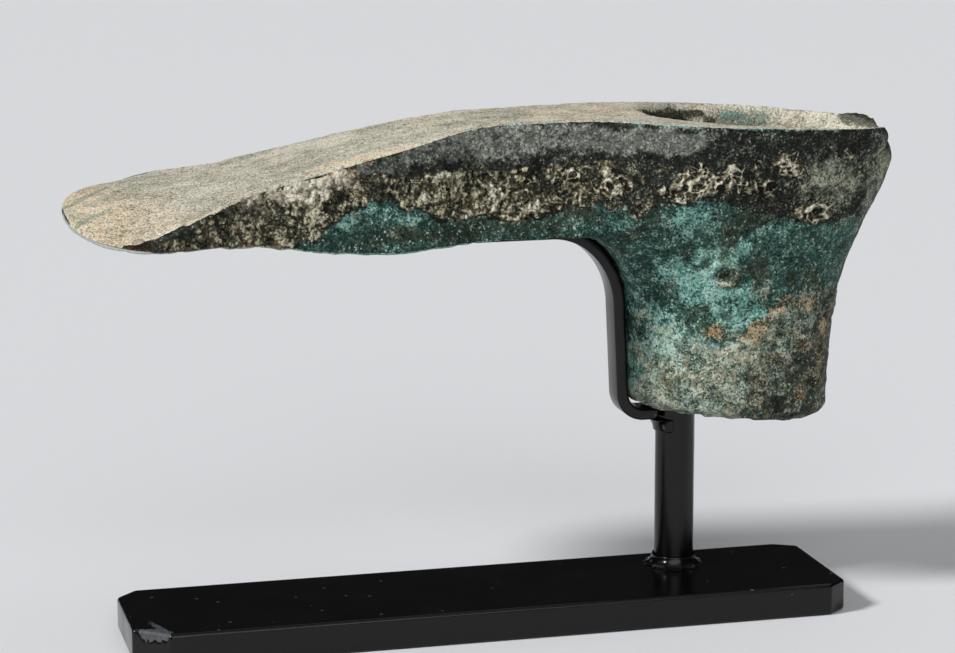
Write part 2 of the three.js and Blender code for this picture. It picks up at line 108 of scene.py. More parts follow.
# How much of the tip's twist and sway a section has
twist_shares = [[0, 1], [0.06, 0.95], [0.12, 0.62], [0.15, 0.32], [0.2, 0]]

FLANK_SLOPE_SHARE = 0.2
CORNER_SHARE = 0.35
END_SHARE = 0.2
FULL_END = 2.5 * MM
OVAL_POWER = 2.2
COLLAR_POWER = 1.8
EDGE_POWER = 2.25

# Sections of the adze's skin in each stretch, points across half a section, and the bore's
# rings and points
SECTIONS = {"tip": 26, "blade": 104, "elbow": 200, "collar": 56, "foot": 8}
SECTION_POINTS = 108
BORE_RINGS, BORE_POINTS = 60, 130
ON_THE_WALL = 0.01 * MM

# The crust's grid over each flank: its spacing, its stretch along the blade and its heights,
# how deep its back lies in the bronze, and how far out the rays start that look for the flank
CRUST_SPACING = 0.21 * MM
CRUST_ALONG = (-119 * MM, 27 * MM)
CRUST_HEIGHTS = (38 * MM, 57 * MM)
CRUST_DEPTH = 0.3 * MM
RAYS_FROM = 60 * MM

# No crust lies where the flank slopes in or out by more than this, or within this many
# millimetres under the top face
STEEPEST = 1.6
TOP_MARGIN = 0.6

# Layers that only the crust's surface uses
CRUST_LAYERS = ("lace", "dusty", "lit")

# Cut off each corner of the plate: back left, front left, back right, front right, each as
# millimetres along the plate and across it
plate_clips = [(3.9, 4.1), (6.6, 5.6), (4.8, 2.6), (4.0, 3.1)]

# Scrape on the plate's front left corner: its place from that corner, and its stretch
CHIP_PLACE = (2.2 * MM, 2 * MM, 0)
CHIP_STRETCH = (0.55, 0.8, 1.3)
CHIP_DEPTH = 0.35 * MM

# The weld under the strip goes this far round the post to each side
STRIP_WELD_HALF_TURN = math.radians(66)

# The camera: its place, and its turn from looking along Y: to the right, down and about its axis
CAMERA_PLACE = np.array([-133.367, -513.643, 161.765]) * MM
CAMERA_TURNS = (14.433, 10.997, -0.134)

# Lamps: where each stands, and how many degrees of the sky it fills
LAMPS = {
    "key": ((-0.82, -0.2, 0.62), 11),
    "fill": ((-0.1, -0.85, 0.5), 50),
    "overhead": ((0.1, 0.2, 1), 80),
}


def srgb(red, green, blue):
    """A colour written as it shows on screen (0 to 255), as Blender's linear colour."""
    shown = np.array([red, green, blue]) / 255
    return tuple(np.where(shown <= 0.04045, shown / 12.92, ((shown + 0.055) / 1.055) ** 2.4))


def length(name, description, default, **limits):
    """A length property, in metres."""
    return bpy.props.FloatProperty(
        name=name, description=description, default=default, subtype="DISTANCE",
        unit="LENGTH", precision=5, **limits,
    )


def colour(name, description, default):
    """A colour property, in Blender's linear colour."""
    return bpy.props.FloatVectorProperty(
        name=name, description=description, default=default, subtype="COLOR", size=3,
        min=0, max=1,
    )


class AdzeSizes(bpy.types.PropertyGroup):
    """Driving sizes of the bronze adze."""

    edge_reach: length("Edge reach", "Collar axis to the cutting edge", 131.4 * MM)
    butt_reach: length("Butt reach", "Collar axis to the back of the butt", 33.1 * MM)
    underside_height: length("Underside", "Foot to the neck's underside", 38.1 * MM)
    neck_thickness: length("Neck", "Thickness of the blade at the neck", 22.1 * MM)
    edge_width: length("Edge width", "Width of the cutting edge", 52 * MM)
    edge_rounding: length("Edge rounding", "How far the edge is rounded in plan", 17.4 * MM)
    waist_width: length("Waist", "Width of the waist behind the blade", 27.4 * MM)
    mouth_width: length("Mouth width", "Width round the socket's mouth", 45.8 * MM)
    mouth_half_length: length("Mouth reach", "Collar axis to the mouth's end", 32 * MM)
    foot_half_length: length("Foot reach", "Half the length of the collar's foot", 20.6 * MM)
    foot_width: length("Foot width", "Width of the collar's foot", 35 * MM)
    collar_waist: length("Collar waist", "Width of the collar's middle", 36.6 * MM)
    fillet_length: length("Fillet length", "Length of the fillet under the neck", 15.2 * MM)
    fillet_height: length("Fillet height", "Height of the fillet under the neck", 17.1 * MM)
    front_flare: length("Front flare", "Lean of the collar's front", 1 * MM)
    lip_rounding: length("Lip rounding", "Rounding of the butt's lip", 7 * MM)
    corner: length("Corner", "Rounding of the blade's edges", 0.7 * MM)
    rim_wear: length("Rim wear", "Extra rounding of the top face's edge", 0.7 * MM)
    camber: length("Camber", "Crown of the flat faces", 0.2 * MM)
    foot_rounding: length("Foot rounding", "Rounding of the collar's foot", 3.2 * MM)
    foot_wall: length("Foot wall", "Wall of the socket at the foot", 4.3 * MM)
    mouth_wall: length("Mouth wall", "Wall of the socket at the mouth", 4.2 * MM)
    front_wall: length("Front wall", "Wall in front of the socket", 3.8 * MM)
    mouth_flare: length("Mouth flare", "Flare of the socket's worn mouth", 2.6 * MM)
    back_flare: length("Back flare", "Extra flare at the back of the mouth", 5 * MM)
    tip_sway: length("Tip sway", "Sideways sway of the blade's tip", 0.9 * MM)
    tip_twist: bpy.props.FloatProperty(
        name="Tip twist", description="Twist of the cutting edge", unit="ROTATION",
        subtype="ANGLE", default=math.radians(6.4),
    )
    relief: bpy.props.FloatProperty(
        name="Relief", description="Strength of pits and crusts", default=1, subtype="FACTOR",
        min=0, max=2,
    )


class PatinaColours(bpy.types.PropertyGroup):
    """Dark, middle and light colour of each layer of the patina."""

    sand_dark: colour("Dark sand", "Dark grains of the sandy crust", srgb(124, 119, 101))
    sand: colour("Sand", "Sandy burial crust on the top face", srgb(207, 200, 181))
    sand_light: colour("Light sand", "Light grains of the sandy crust", srgb(240, 234, 217))
    tan_dark: colour("Dark tan", "Dark grains of the orange stains", srgb(88, 78, 58))
    tan: colour("Tan", "Orange stains", srgb(170, 136, 94))
    tan_light: colour("Light tan", "Light grains of the orange stains", srgb(220, 190, 146))
    peach_dark: colour("Dark peach", "Dark grains of the top face's stain", srgb(168, 150, 120))
    peach: colour("Peach", "Orange stain of the top face", srgb(240, 220, 188))
    peach_light: colour("Light peach", "Light grains of the stain", srgb(248, 238, 214))
    rust: colour("Rust", "Rust brown glints near the cutting edge", srgb(82, 60, 36))
    rim: colour("Rim", "Pale worn rim of the cutting edge", srgb(176, 182, 180))
    black_dark: colour("Dark bronze", "Hollows of the dark bronze", srgb(6, 7, 6))
    black: colour("Bronze", "Smooth dark bronze", srgb(42, 47, 41))
    # The light bronze grains are partly painted highlights: tiny glints in the dark bronze
    black_light: colour("Light bronze", "Rubbed grains of the dark bronze", srgb(112, 120, 110))
    # The grey colours are a painted sheen: the dark bronze lighter where it catches the light
    grey_dark: colour("Dark grey", "Hollows of the worn grey bronze", srgb(46, 50, 45))
    grey: colour("Grey", "Worn grey bronze", srgb(104, 109, 98))
    grey_light: colour("Light grey", "Crests of the worn grey bronze", srgb(168, 173, 168))
    teal_dark: colour("Dark teal", "Hollows of the malachite", srgb(18, 34, 28))
    teal: colour("Teal", "Malachite", srgb(50, 83, 74))
    teal_light: colour("Light teal", "Crests of the malachite", srgb(114, 158, 147))
    glow_dark: colour("Dark turquoise", "Hollows of the bright malachite", srgb(42, 72, 64))
    glow: colour("Turquoise", "Bright malachite", srgb(106, 156, 144))
    glow_light: colour("Light turquoise", "Crests of the bright malachite", srgb(172, 216, 206))
    brown_dark: colour("Dark brown", "Hollows of the brown crust", srgb(14, 14, 10))
    brown: colour("Brown", "Brown crust", srgb(84, 82, 64))
    brown_light: colour("Light brown", "Crests of the brown crust", srgb(206, 200, 172))
    cream_dark: colour("Dark lime", "Hollows of the lime", srgb(36, 36, 25))
    cream: colour("Lime", "Lime crust", srgb(120, 116, 94))
    cream_light: colour("Light lime", "Crests of the lime", srgb(228, 223, 202))
    cloud_dark: colour("Dark cloud", "Hollows of the brownish malachite", srgb(30, 34, 24))
    cloud: colour("Cloud", "Brownish malachite", srgb(62, 70, 54))
    cloud_light: colour("Light cloud", "Crests of the brownish malachite", srgb(108, 116, 94))
    olive_dark: colour("Dark olive", "Hollows of the collar's crust", srgb(58, 68, 56))
    olive: colour("Olive", "Grey green crust of the collar", srgb(130, 142, 125))
    olive_light: colour("Light olive", "Crests of the collar's crust", srgb(184, 190, 172))
    # The collar's dark side is partly painted shade: its right side, turned away from the light
    shade_dark: colour("Dark shade", "Hollows of the collar's dark side", srgb(22, 28, 22))
    shade: colour("Shade", "The collar's dark side", srgb(62, 69, 58))
    shade_light: colour("Light shade", "Crests of the collar's dark side", srgb(112, 116, 98))


class MountFinish(bpy.types.PropertyGroup):
    """Sizes and finish of the steel mount."""

    strip_width: length("Strip width", "Width of the support strip", 6.35 * MM)
    strip_thickness: length("Strip thickness", "Thickness of the support strip", 2.4 * MM)
    strip_under_blade: length("Strip reach", "Strip's run under the blade", 17 * MM)
    strip_bend: length("Strip bend", "Bend of the strip under the foot", 4.4 * MM)
    strip_corner: length("Strip corner", "Rounding of the strip's edges", 0.5 * MM)
    seat_gap: length("Seat gap", "Gap between the strip and the adze", 0.3 * MM)
    plate_corner: length("Plate corner", "Rounding of the plate's edges", 0.7 * MM)
    post_end: length("Post end", "Rounding of the post's top", 1.2 * MM)
    weld_height: length("Weld height", "Height of the foot weld", 1.9 * MM)
    weld_spread: length("Weld spread", "Spread of the foot weld", 1.5 * MM)
    strip_weld_spread: length("Strip weld spread", "Spread of the weld under the strip", 1.5 * MM)
    paint_thickness: length("Paint unevenness", "Depth of the paint's waves", 0.06 * MM)
    gloss: bpy.props.FloatProperty(
        name="Gloss", description="Specular level of the paint", default=0.34, min=0, max=1,
    )
    paint: colour("Paint", "Black paint", srgb(6, 6, 7))
    scrape: colour("Scrape", "Bare scraped metal", srgb(92, 96, 100))


class StageSettings(bpy.types.PropertyGroup):
    """Floor, light and camera."""

    floor: colour("Floor", "Colour of the floor", srgb(222, 223, 226))
    floor_reach: length("Floor reach", "Half the floor's side", 6)
    world: bpy.props.FloatProperty(
        name="World", description="Strength of the even light", default=0.02, min=0,
    )
    key: bpy.props.FloatProperty(
        name="Key", description="Strength of the main light, from the left", default=3, min=0,
    )
    fill: bpy.props.FloatProperty(
        name="Fill", description="Strength of the soft light beside the camera", default=1.1,
        min=0,
    )
    overhead: bpy.props.FloatProperty(
        name="Overhead", description="Strength of the soft light from above", default=0.7,
        min=0,
    )
    lens: bpy.props.FloatProperty(
        name="Lens", description="Focal length", default=105.33, unit="CAMERA",
    )


# Numbers shared by the surfaces


def along(table, place):
    """Smooth curve through a table of [place, value] pairs: a cubic between neighbours whose
    slope at each point is the harmonic mean of its two rises, or 0 at a turning point."""
    table = np.array(table, float)
    places, values = table[:, 0], table[:, 1]
    rise = np.diff(values) / np.diff(places)
    before, after = rise[:-1], rise[1:]
    total = np.where(before + after == 0, 1, before + after)
    inner = np.where(before * after <= 0, 0, 2 * before * after / total)
    slope = np.concatenate([rise[:1], inner, rise[-1:]])
    place = np.clip(np.asarray(place, float), places[0], places[-1])
    i = np.clip(np.searchsorted(places, place) - 1, 0, len(places) - 2)
    span = places[i + 1] - places[i]
    t = (place - places[i]) / span
    start = (1 + 2 * t) * (1 - t) ** 2 * values[i] + t * (1 - t) ** 2 * span * slope[i]
    end = t * t * (3 - 2 * t) * values[i + 1] + t * t * (t - 1) * span * slope[i + 1]
    return start + end


def ease(low, high, value):
    """Smooth step: 3t^2 - 2t^3 of the share t of the way from low to high."""
    t = np.clip((np.asarray(value, float) - low) / (high - low), 0, 1)
    return t * t * (3 - 2 * t)


def mix(a, b, share):
    """Straight blend from a to b."""
    return a + (b - a) * share


# Keeps the numbers of a lattice's cells above 0
LATTICE_SHIFT = 4096


def lattice(cell, seed):
    """Repeatable random number from 0 to 1 for whole-number cells: their three numbers and the
    seed are multiplied by large primes, and their bits are mixed within 32-bit words."""
    word = 2**32
    x, y, z = (cell[..., i].astype(np.uint64) for i in range(3))
    n = x * np.uint64(73856093) ^ y * np.uint64(19349663) ^ z * np.uint64(83492791)
    n = n ^ np.uint64(seed * 2654435761 % word)
    n = (n ^ (n >> np.uint64(13))) * np.uint64(1274126177) % np.uint64(word)
    n = (n ^ (n >> np.uint64(16))) * np.uint64(2246822519) % np.uint64(word)
    return (n ^ (n >> np.uint64(15))).astype(float) % word / word


def noise(points, size, seed=0):
    """Value noise from -1 to 1: random numbers on a lattice, eased between its 8 corners."""
    place = points / size + LATTICE_SHIFT
    cell = np.floor(place)
    t = place - cell
    t = t * t * (3 - 2 * t)
    total = 0
    for corner in np.ndindex(2, 2, 2):
        step = np.array(corner)
        weight = np.prod(np.where(step == 1, t, 1 - t), axis=-1)
        total = total + weight * lattice(cell + step, seed)
    return 2 * total - 1


def fractal(points, size, octaves=4, seed=0, fade=0.5):
    """Sum of noises, each of half the size and a fade of the strength of the one before."""
    total, weight, sum_of_weights = 0, 1, 0
    for i in range(octaves):
        total = total + weight * noise(points, size / 2**i, seed + 17 * i)
        sum_of_weights += weight
        weight *= fade
    return total / sum_of_weights


def cells(points, size, seed=0):
    """Distances to the nearest and second nearest of one random point per lattice cell, as
    shares of the cell's size. Their difference is 0 on the walls between the cells."""
    place = points / size + LATTICE_SHIFT
    cell = np.floor(place)
    nearest = np.full(len(points), 9.0)
    second = np.full(len(points), 9.0)
    for corner in np.ndindex(3, 3, 3):
        home = cell + np.array(corner) - 1
        spot = np.stack([lattice(home, seed + k) for k in range(3)], axis=-1)
        far = np.linalg.norm(home + spot - place, axis=-1)
        second = np.minimum(second, np.maximum(nearest, far))
        nearest = np.minimum(nearest, far)
    return nearest, second


# The adze's own frame: x along the blade, y across it, height above the foot


class AdzeShape:
    """The adze's outlines, as functions of the place along it or of the height."""

    def __init__(self, sizes):
        for name in AdzeSizes.__annotations__:
            setattr(self, name, getattr(sizes, name))
        self.total = self.edge_reach + self.butt_reach
        self.head_height = self.underside_height + self.neck_thickness
        self.edge_corner = self.edge_rounding - self.edge_reach
        self.fillet_end = -self.foot_half_length - self.front_flare
        self.fillet_start = self.fillet_end - self.fillet_length
        self.fillet_end_height = self.underside_height - self.fillet_height
        self.lip_x = self.butt_reach - self.lip_rounding
        self.lip_height = float(self.top(self.lip_x)) - self.lip_rounding
        halves = [(blade_half_shares, self.edge_width), (waist_half_shares, self.waist_width),
                  (mouth_half_shares, self.mouth_width)]
        self.plan = [[at, share * width / 2] for table, width in halves for at, share in table]

    def place(self, x):
        """Share of the way from the cutting edge to the butt."""
        return (x + self.edge_reach) / self.total

    def underside(self, x):
        """Height of the blade's underside."""
        return self.underside_height * along(underside_shares, self.place(x))

    def top(self, x):
        """Height of the top face."""
        return self.underside(x) + self.neck_thickness * along(thickness_shares, self.place(x))

    def back(self, height):
        """Reach of the collar's back."""
        return self.butt_reach * along(back_line_shares, height / self.head_height)

    def front(self, height):
        """Place of the collar's front, which leans a little."""
        return -self.foot_half_length - self.front_flare * (height / self.fillet_end_height)

    def foot(self, x):
        """Height of the collar's foot, which falls towards the butt."""
        return -FOOT_FALL * x / (2 * self.foot_half_length)

    def half_width(self, x):
        """Half width of the top face: a slightly squared ellipse at the cutting edge, an ellipse
        at the mouth's back, and a smooth curve through the plan's points between them."""
        run = np.clip((self.edge_corner - x) / self.edge_rounding, 0, 1)
        edge = self.edge_width / 2 * (1 - run**EDGE_POWER) ** (1 / EDGE_POWER)
        share = np.clip(x / self.mouth_half_length, 0, 1)
        mouth = self.mouth_width / 2 * np.sqrt(1 - share**2)
        middle = along(self.plan, self.place(x))
        inner = np.where(self.place(x) < self.plan[-1][0], middle, mouth)
        return np.where(x < self.edge_corner, edge, inner)

    def collar_half(self, height):
        """Half width of the collar, narrowest a third of the way up."""
        widths = np.array([self.foot_width, self.collar_waist, self.mouth_width])
        return along(np.stack([(0, 0.35, 1), widths / 2], axis=1), height / self.head_height)

    def rows(self, tip, blade, elbow, collar, foot):
        """Every section's ends and half widths from the cutting edge to the collar's foot, as
        one dictionary of arrays. The elbow's sections fan round the fillet under the neck."""
        turn = np.linspace(0, math.pi / 2, tip, endpoint=False)
        x = self.edge_corner - self.edge_rounding * np.cos(turn)
        straight = np.linspace(self.edge_corner, self.fillet_start, blade, endpoint=False)
        x = np.concatenate([x, straight])
        low, high = self.underside(x), self.top(x)
        facet = np.minimum(along(facet_shares, self.place(x)), 1 - self.camber / (high - low))
        outer_half = np.maximum(self.half_width(x), self.camber)
        inner_half = outer_half + FLANK_SLOPE_SHARE * facet * (high - low)
        rounded = np.minimum(inner_half, outer_half * (1 + facet))
        inner_half = np.where(x < self.edge_corner, rounded, inner_half)
        bend = along(twist_shares, self.place(x))
        flat = np.zeros_like(x)
        part = dict(
            inner_x=x, inner_z=low, outer_x=x, outer_z=high, inner_half=inner_half,
            middle_half=(inner_half + outer_half) / 2, outer_half=outer_half, inner_round=flat,
            outer_round=flat, power=flat + 1, facet=facet,
            slope=math.tan(self.tip_twist) * bend, sway=self.tip_sway * bend,
        )
        return merge_rows([part, self.elbow(elbow), self.collar(collar, foot)])

    def outer_line(self, count):
        """The line from the neck along the top, round the lip and down the collar's back, with
        its points spaced evenly along the top face's edge."""
        t = np.linspace(0, 1, 400)
        x = mix(self.fillet_start, self.lip_x, t)
        turn = t * math.pi / 2
        height = mix(self.lip_height, self.fillet_end_height, t)
        lip_x = self.lip_x + self.lip_rounding * np.sin(turn)
        lip_level = self.lip_height + self.lip_rounding * np.cos(turn)
        reach = np.concatenate([x, lip_x, self.back(height)])
        level = np.concatenate([self.top(x), lip_level, height])
        half = np.where(level < self.lip_height, 0, self.half_width(reach))
        step = np.sqrt(np.diff(reach) ** 2 + np.diff(level) ** 2 + np.diff(half) ** 2)
        run = np.concatenate([[0], np.cumsum(step)])
        goal = np.linspace(0, run[-1], count)
        return np.interp(goal, run, reach), np.interp(goal, run, level)

    def elbow(self, count):
        """Sections from the neck round the fillet to the collar."""
        x, z = self.outer_line(count)
        turned = np.linspace(0, 1, count)
        turn = turned * math.pi / 2
        inner_x = self.fillet_start + self.fillet_length * np.sin(turn)
        inner_z = self.underside_height - self.fillet_height * (1 - np.cos(turn))
        neck_half = self.half_width(self.fillet_start)
        neck_tall = self.top(self.fillet_start) - self.underside_height
        neck_inner = neck_half + FLANK_SLOPE_SHARE * neck_tall
        swollen = ease(0, 0.4, turned)
        closing = ease(0, 1, turned)
        middle = (inner_z + z) / 2
        outer_half = np.where(z < self.lip_height, 0, self.half_width(x))
        tall = np.hypot(x - inner_x, z - inner_z)
        none = np.zeros_like(x)
        return dict(
            inner_x=inner_x, inner_z=inner_z, outer_x=x, outer_z=z,
            inner_half=neck_inner * (1 - closing),
            middle_half=mix((neck_half + neck_inner) / 2, self.collar_half(middle), swollen),
            outer_half=outer_half, inner_round=ease(0.1, 0.7, turned),
            outer_round=ease(0.3, 0.75, turned), power=mix(1, COLLAR_POWER, swollen),
            slope=none, sway=none,
            facet=1 - self.camber / tall * np.clip(outer_half / FULL_END, 0, 1),
        )

    def collar(self, count, foot_count):
        """Sections of the collar under the fillet, and round the rim of its foot."""
        front_foot = float(self.foot(-self.foot_half_length)) + self.foot_rounding
        back_foot = float(self.foot(self.foot_half_length)) + self.foot_rounding
        share = np.concatenate([np.linspace(0, 1, count)[1:], np.ones(foot_count)])
        rim = np.linspace(0, math.pi / 2, foot_count + 1)[1:]
        turn = np.concatenate([np.zeros(count - 1), rim])
        inset = self.foot_rounding * (1 - np.cos(turn))
        drop = self.foot_rounding * np.sin(turn)
        front = mix(self.fillet_end_height, front_foot, share)
        back = mix(self.fillet_end_height, back_foot, share)
        none = np.zeros_like(share)
        return dict(
            inner_x=self.front(front) + inset, inner_z=front - drop,
            outer_x=self.back(back) - inset, outer_z=back - drop, inner_half=none,
            middle_half=self.collar_half((front + back) / 2) - inset, outer_half=none,
            inner_round=none + 1, outer_round=none + 1, power=none + COLLAR_POWER,
            facet=none + 1, slope=none, sway=none,
        )


def merge_rows(parts):
    """One dictionary of columns from several, end to end."""
    return {key: np.concatenate([part[key] for part in parts])[:, None] for key in parts[0]}


def skin_points(shape, row, k, side):
    """Points of the adze's skin. Each section runs from its inner end (k = 0) to its outer end
    (k = 1): the first and last fifth of k cross the flat ends, and between them the half
    width goes from the inner half to the middle half and on to the outer half, by a power
    of the reach where the end is flat and by an oval where it is round. The corners
    are eased by a quarter circle. side is -1 for the near half and 1 for the far half."""
    tall = np.hypot(row["outer_x"] - row["inner_x"], row["outer_z"] - row["inner_z"])
    facet = row["facet"]
    inner_flat = np.clip(row["inner_half"] / FULL_END, 0, 1) * END_SHARE
    outer_flat = np.clip(row["outer_half"] / FULL_END, 0, 1) * END_SHARE
    most = tall * facet * CORNER_SHARE
    worn = shape.corner + shape.rim_wear * ease(-80 * MM, -50 * MM, row["outer_x"])
    corner_in = np.minimum(np.minimum(shape.corner, row["inner_half"] / 2), most)
    corner_out = np.minimum(np.minimum(worn, row["outer_half"] / 2), most)
    run = np.clip((k - inner_flat) / (1 - inner_flat - outer_flat), 0, 1)
    share = (1 - np.cos(math.pi * run)) / 2
    reach = np.abs(2 * share - 1)
    low = share < 0.5
    flat = np.where(low, row["inner_half"], row["outer_half"])
    rounding = np.where(low, row["inner_round"], row["outer_round"])
    oval = 1 - (1 - reach**OVAL_POWER) ** (1 / OVAL_POWER)
    half = mix(row["middle_half"], flat, mix(reach ** row["power"], oval, rounding))
    gap = tall * facet * np.minimum(share, 1 - share)
    corner = np.maximum(np.where(low, corner_in, corner_out), 1e-9)
    half = half - corner * (1 - np.sqrt(1 - np.clip(1 - gap / corner, 0, 1) ** 2))
    inner_y = (row["inner_half"] - corner_in) * np.clip(k / np.maximum(inner_flat, 1e-9), 0, 1)
    left = np.clip((1 - k) / np.maximum(outer_flat, 1e-9), 0, 1)
    outer_y = (row["outer_half"] - corner_out) * left
    y = np.where(k < inner_flat, inner_y, np.where(k > 1 - outer_flat, outer_y, half))
    crown = 1 - (1 - facet) * left**2
    share = np.where(k < inner_flat, 0, np.where(k > 1 - outer_flat, crown, facet * share))
    x = mix(row["inner_x"], row["outer_x"], share)
    z = mix(row["inner_z"], row["outer_z"], share) + side * y * row["slope"]
    return np.stack([x, side * y - row["sway"], z], axis=-1)


def bore_points(shape, rows, columns):
    """Skin of the socket's bore: ovals from below the foot to above the mouth, a wall inside
    the collar, flaring near the mouth and most at its back."""
    share = np.concatenate([[-0.06], np.linspace(0, 1.06, rows - 1)])[:, None]
    turn = np.linspace(0, 2 * math.pi, columns, endpoint=False)[None, :]
    inside = np.clip(share, 0, 1)
    height = shape.head_height * inside
    wall = mix(shape.foot_wall, shape.mouth_wall, inside)
    flare = shape.mouth_flare * ease(0.93, 1.06, share) ** 2 * 2
    back = shape.back(height) - wall + flare + shape.back_flare * ease(0.86, 1.08, share) ** 2
    front = -shape.foot_half_length + shape.front_wall - flare
    half = shape.collar_half(height) - wall + flare
    across = np.sign(np.sin(turn)) * np.abs(np.sin(turn)) ** (2 / OVAL_POWER)
    ahead = np.sign(np.cos(turn)) * np.abs(np.cos(turn)) ** (2 / OVAL_POWER)
    x = (front + back) / 2 + ahead * (back - front) / 2
    z = mix(shape.foot(x), shape.top(x), share)
    return np.stack([x, half * across + 0 * x, z], axis=-1)


# Meshes


def grid_faces(rows, columns):
    """Four-cornered faces of a grid of points, numbered row by row, joined round its columns."""
    i = np.arange(rows - 1)[:, None]
    j = np.arange(columns)[None, :]
    here, there = i * columns + j, i * columns + (j + 1) % columns
    return np.stack([here, there, there + columns, here + columns], axis=-1).reshape(-1, 4)


def new_piece(name, points, faces, caps=()):
    """A mesh object at the origin from points in metres, four-cornered faces and end caps."""
    mesh = bpy.data.meshes.new(name)
    all_faces = faces.tolist() + [list(cap) for cap in caps]
    mesh.from_pydata(points.reshape(-1, 3).tolist(), [], all_faces)
    mesh.validate()
    mesh.update()
    mesh.shade_smooth()
    piece = bpy.data.objects.new(name, mesh)
    bpy.context.scene.collection.objects.link(piece)
    return piece


def tube_piece(name, rings):
    """A closed piece from rings of points, with both end rings capped."""
    rows, columns = rings.shape[:2]
    first = range(columns - 1, -1, -1)
    last = range((rows - 1) * columns, rows * columns)
    return new_piece(name, rings, grid_faces(rows, columns), [first, last])


def facing_out(piece):
    """Turns a closed piece's faces outwards."""
    mesh = piece.data
    count = len(mesh.loop_triangles)
    corners = np.empty(count * 3, np.int32)
    mesh.loop_triangles.foreach_get("vertices", corners)
    triangles = mesh_points(mesh)[corners.reshape(-1, 3)]
    volume = np.einsum("ij,ij->", triangles[:, 0], np.cross(triangles[:, 1], triangles[:, 2]))
    if volume < 0:
        mesh.flip_normals()


def mesh_points(mesh):
    """The mesh's vertices as an array of points."""
    points = np.empty(len(mesh.vertices) * 3, np.float32)
    mesh.vertices.foreach_get("co", points)
    return points.reshape(-1, 3).astype(float)


def mesh_normals(mesh):
    """The mesh's vertex normals as an array."""
    normals = np.empty(len(mesh.vertices) * 3, np.float32)
    mesh.vertex_normals.foreach_get("vector", normals)
    return normals.reshape(-1, 3).astype(float)


def settle(piece):
    """Replaces the piece's mesh by what its modifiers make of it."""
    graph = bpy.context.evaluated_depsgraph_get()
    mesh = bpy.data.meshes.new_from_object(piece.evaluated_get(graph))
    piece.modifiers.clear()
    old = piece.data
    piece.data = mesh
    bpy.data.meshes.remove(old)
    mesh.name = piece.name


def store(mesh, name, values):
    """Keeps one number per vertex as an attribute that the finish reads."""
    attribute = mesh.attributes.new(name, "FLOAT", "POINT")
    attribute.data.foreach_set("value", np.asarray(values, np.float32))


def finish_piece(piece, material, body, slot, *nodes):
    """Gives a piece its finish and body, and hides the solids it stands for. The slot is not used."""
    piece.data.materials.clear()
    piece.data.materials.append(material)
    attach(piece, body)
    if nodes:
        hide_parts(*nodes)


def paint_piece(piece, mount, node, worn=None):
    """Turns a piece of the mount outwards and gives it its wear and the black paint."""
    facing_out(piece)
    store(piece.data, "worn", np.zeros(len(piece.data.vertices)) if worn is None else worn)
    finish_piece(piece, paint_finish(mount), "stand", "black_paint", node)


# Where the patina's layers lie, in millimetres in the adze's own frame, on its near side.
# The upper border of the malachite, and the upper border of the collar's grey green foot
teal_top_line = [
    [-118, 40.2], [-103.8, 39.1], [-88, 39.1], [-86.5, 41.4], [-84, 43.4], [-81, 44.8],
    [-76, 46.3], [-70, 45.3], [-66, 44.7], [-62, 43.5], [-56.5, 42.6], [-46.6, 42], [-38.7, 42.4],
    [-32.8, 43.2], [-23, 43.9], [-15, 44.1], [-8, 43.4], [-3, 41.4], [2.7, 40.7], [8.6, 39.4],
    [14.6, 39], [21.5, 39.8],
]
teal_foot_line = [
    [-25.3, 5.3], [-22.9, 6.6], [-20, 16.2], [-13.1, 18.2], [-8.1, 17], [-4.6, 17.2], [-1.2, 19.8],
    [3.7, 23.3], [8.6, 25.2], [14.6, 26.8],
]

# How far the bare dark band reaches down from the top face's edge; its deeper reach near
# the cutting edge is painted shade under that edge
band_depths = [
    [-121, 0.4], [-119, 0.9], [-116.5, 1.9], [-113.5, 2.4], [-110, 1.7], [-107, 0.6], [-104, 0.2],
    [-98, 0.35], [-88, 0.7], [-80, 2.2], [-72, 4.4], [-62, 6.5], [-50, 8], [-32, 7.5], [-20, 7],
    [-8, 6], [10, 4.6], [22, 4],
]

# Patches of each layer: x, height, half length, half height, slope in degrees, strength
# Grey patches: painted sheen on the dark bronze
painted_sheen_patches = [
    (-50.5, 56.8, 22.1, 3.7, 2, 0.95), (-20.0, 56.9, 9.1, 2.4, -2, 1.5),
    (-30.8, 56.2, 7.9, 2.8, 0, 1.15), (-66.3, 56.6, 7.9, 1.8, 12, 0.75),
    (-80.1, 53.4, 5.1, 0.8, 18, 0.5), (-73, 53.2, 8, 2.4, 14, 0.7),
]
cream_patches = [
    (-61.0, 51.1, 4.7, 1.6, -5, 0.9), (-59.4, 44.2, 3.2, 1.6, 0, 0.9),
    (-52.5, 46.7, 2.2, 3.3, 0, 0.95), (-46.6, 45.5, 4.1, 2.6, 0, 1.05),
    (-37.5, 46.5, 2.4, 1.8, 0, 0.8), (-65.3, 47.8, 4.3, 2.0, 0, 0.7),
    (-89.5, 47.8, 6.5, 2.6, 3, 0.95), (-82.1, 51.3, 2.4, 1.4, 10, 1),
    (-30.4, 49.8, 1.8, 1.6, 0, 0.8), (-14.5, 47.6, 4.2, 3.6, 0, 1.2),
    (-2.5, 46.6, 3.8, 2.2, 0, 0.85), (-6.6, 29.2, 1.7, 1.1, 0, 1.3), (-6.2, 14.4, 4.2, 1.3, 53, 1.15),
    (9.9, 16.4, 0.9, 0.9, 0, 1.5), (-20.5, 10.5, 1.3, 1.3, 0, 0.9), (-13, 12, 6, 5, 0, 0.55),
]
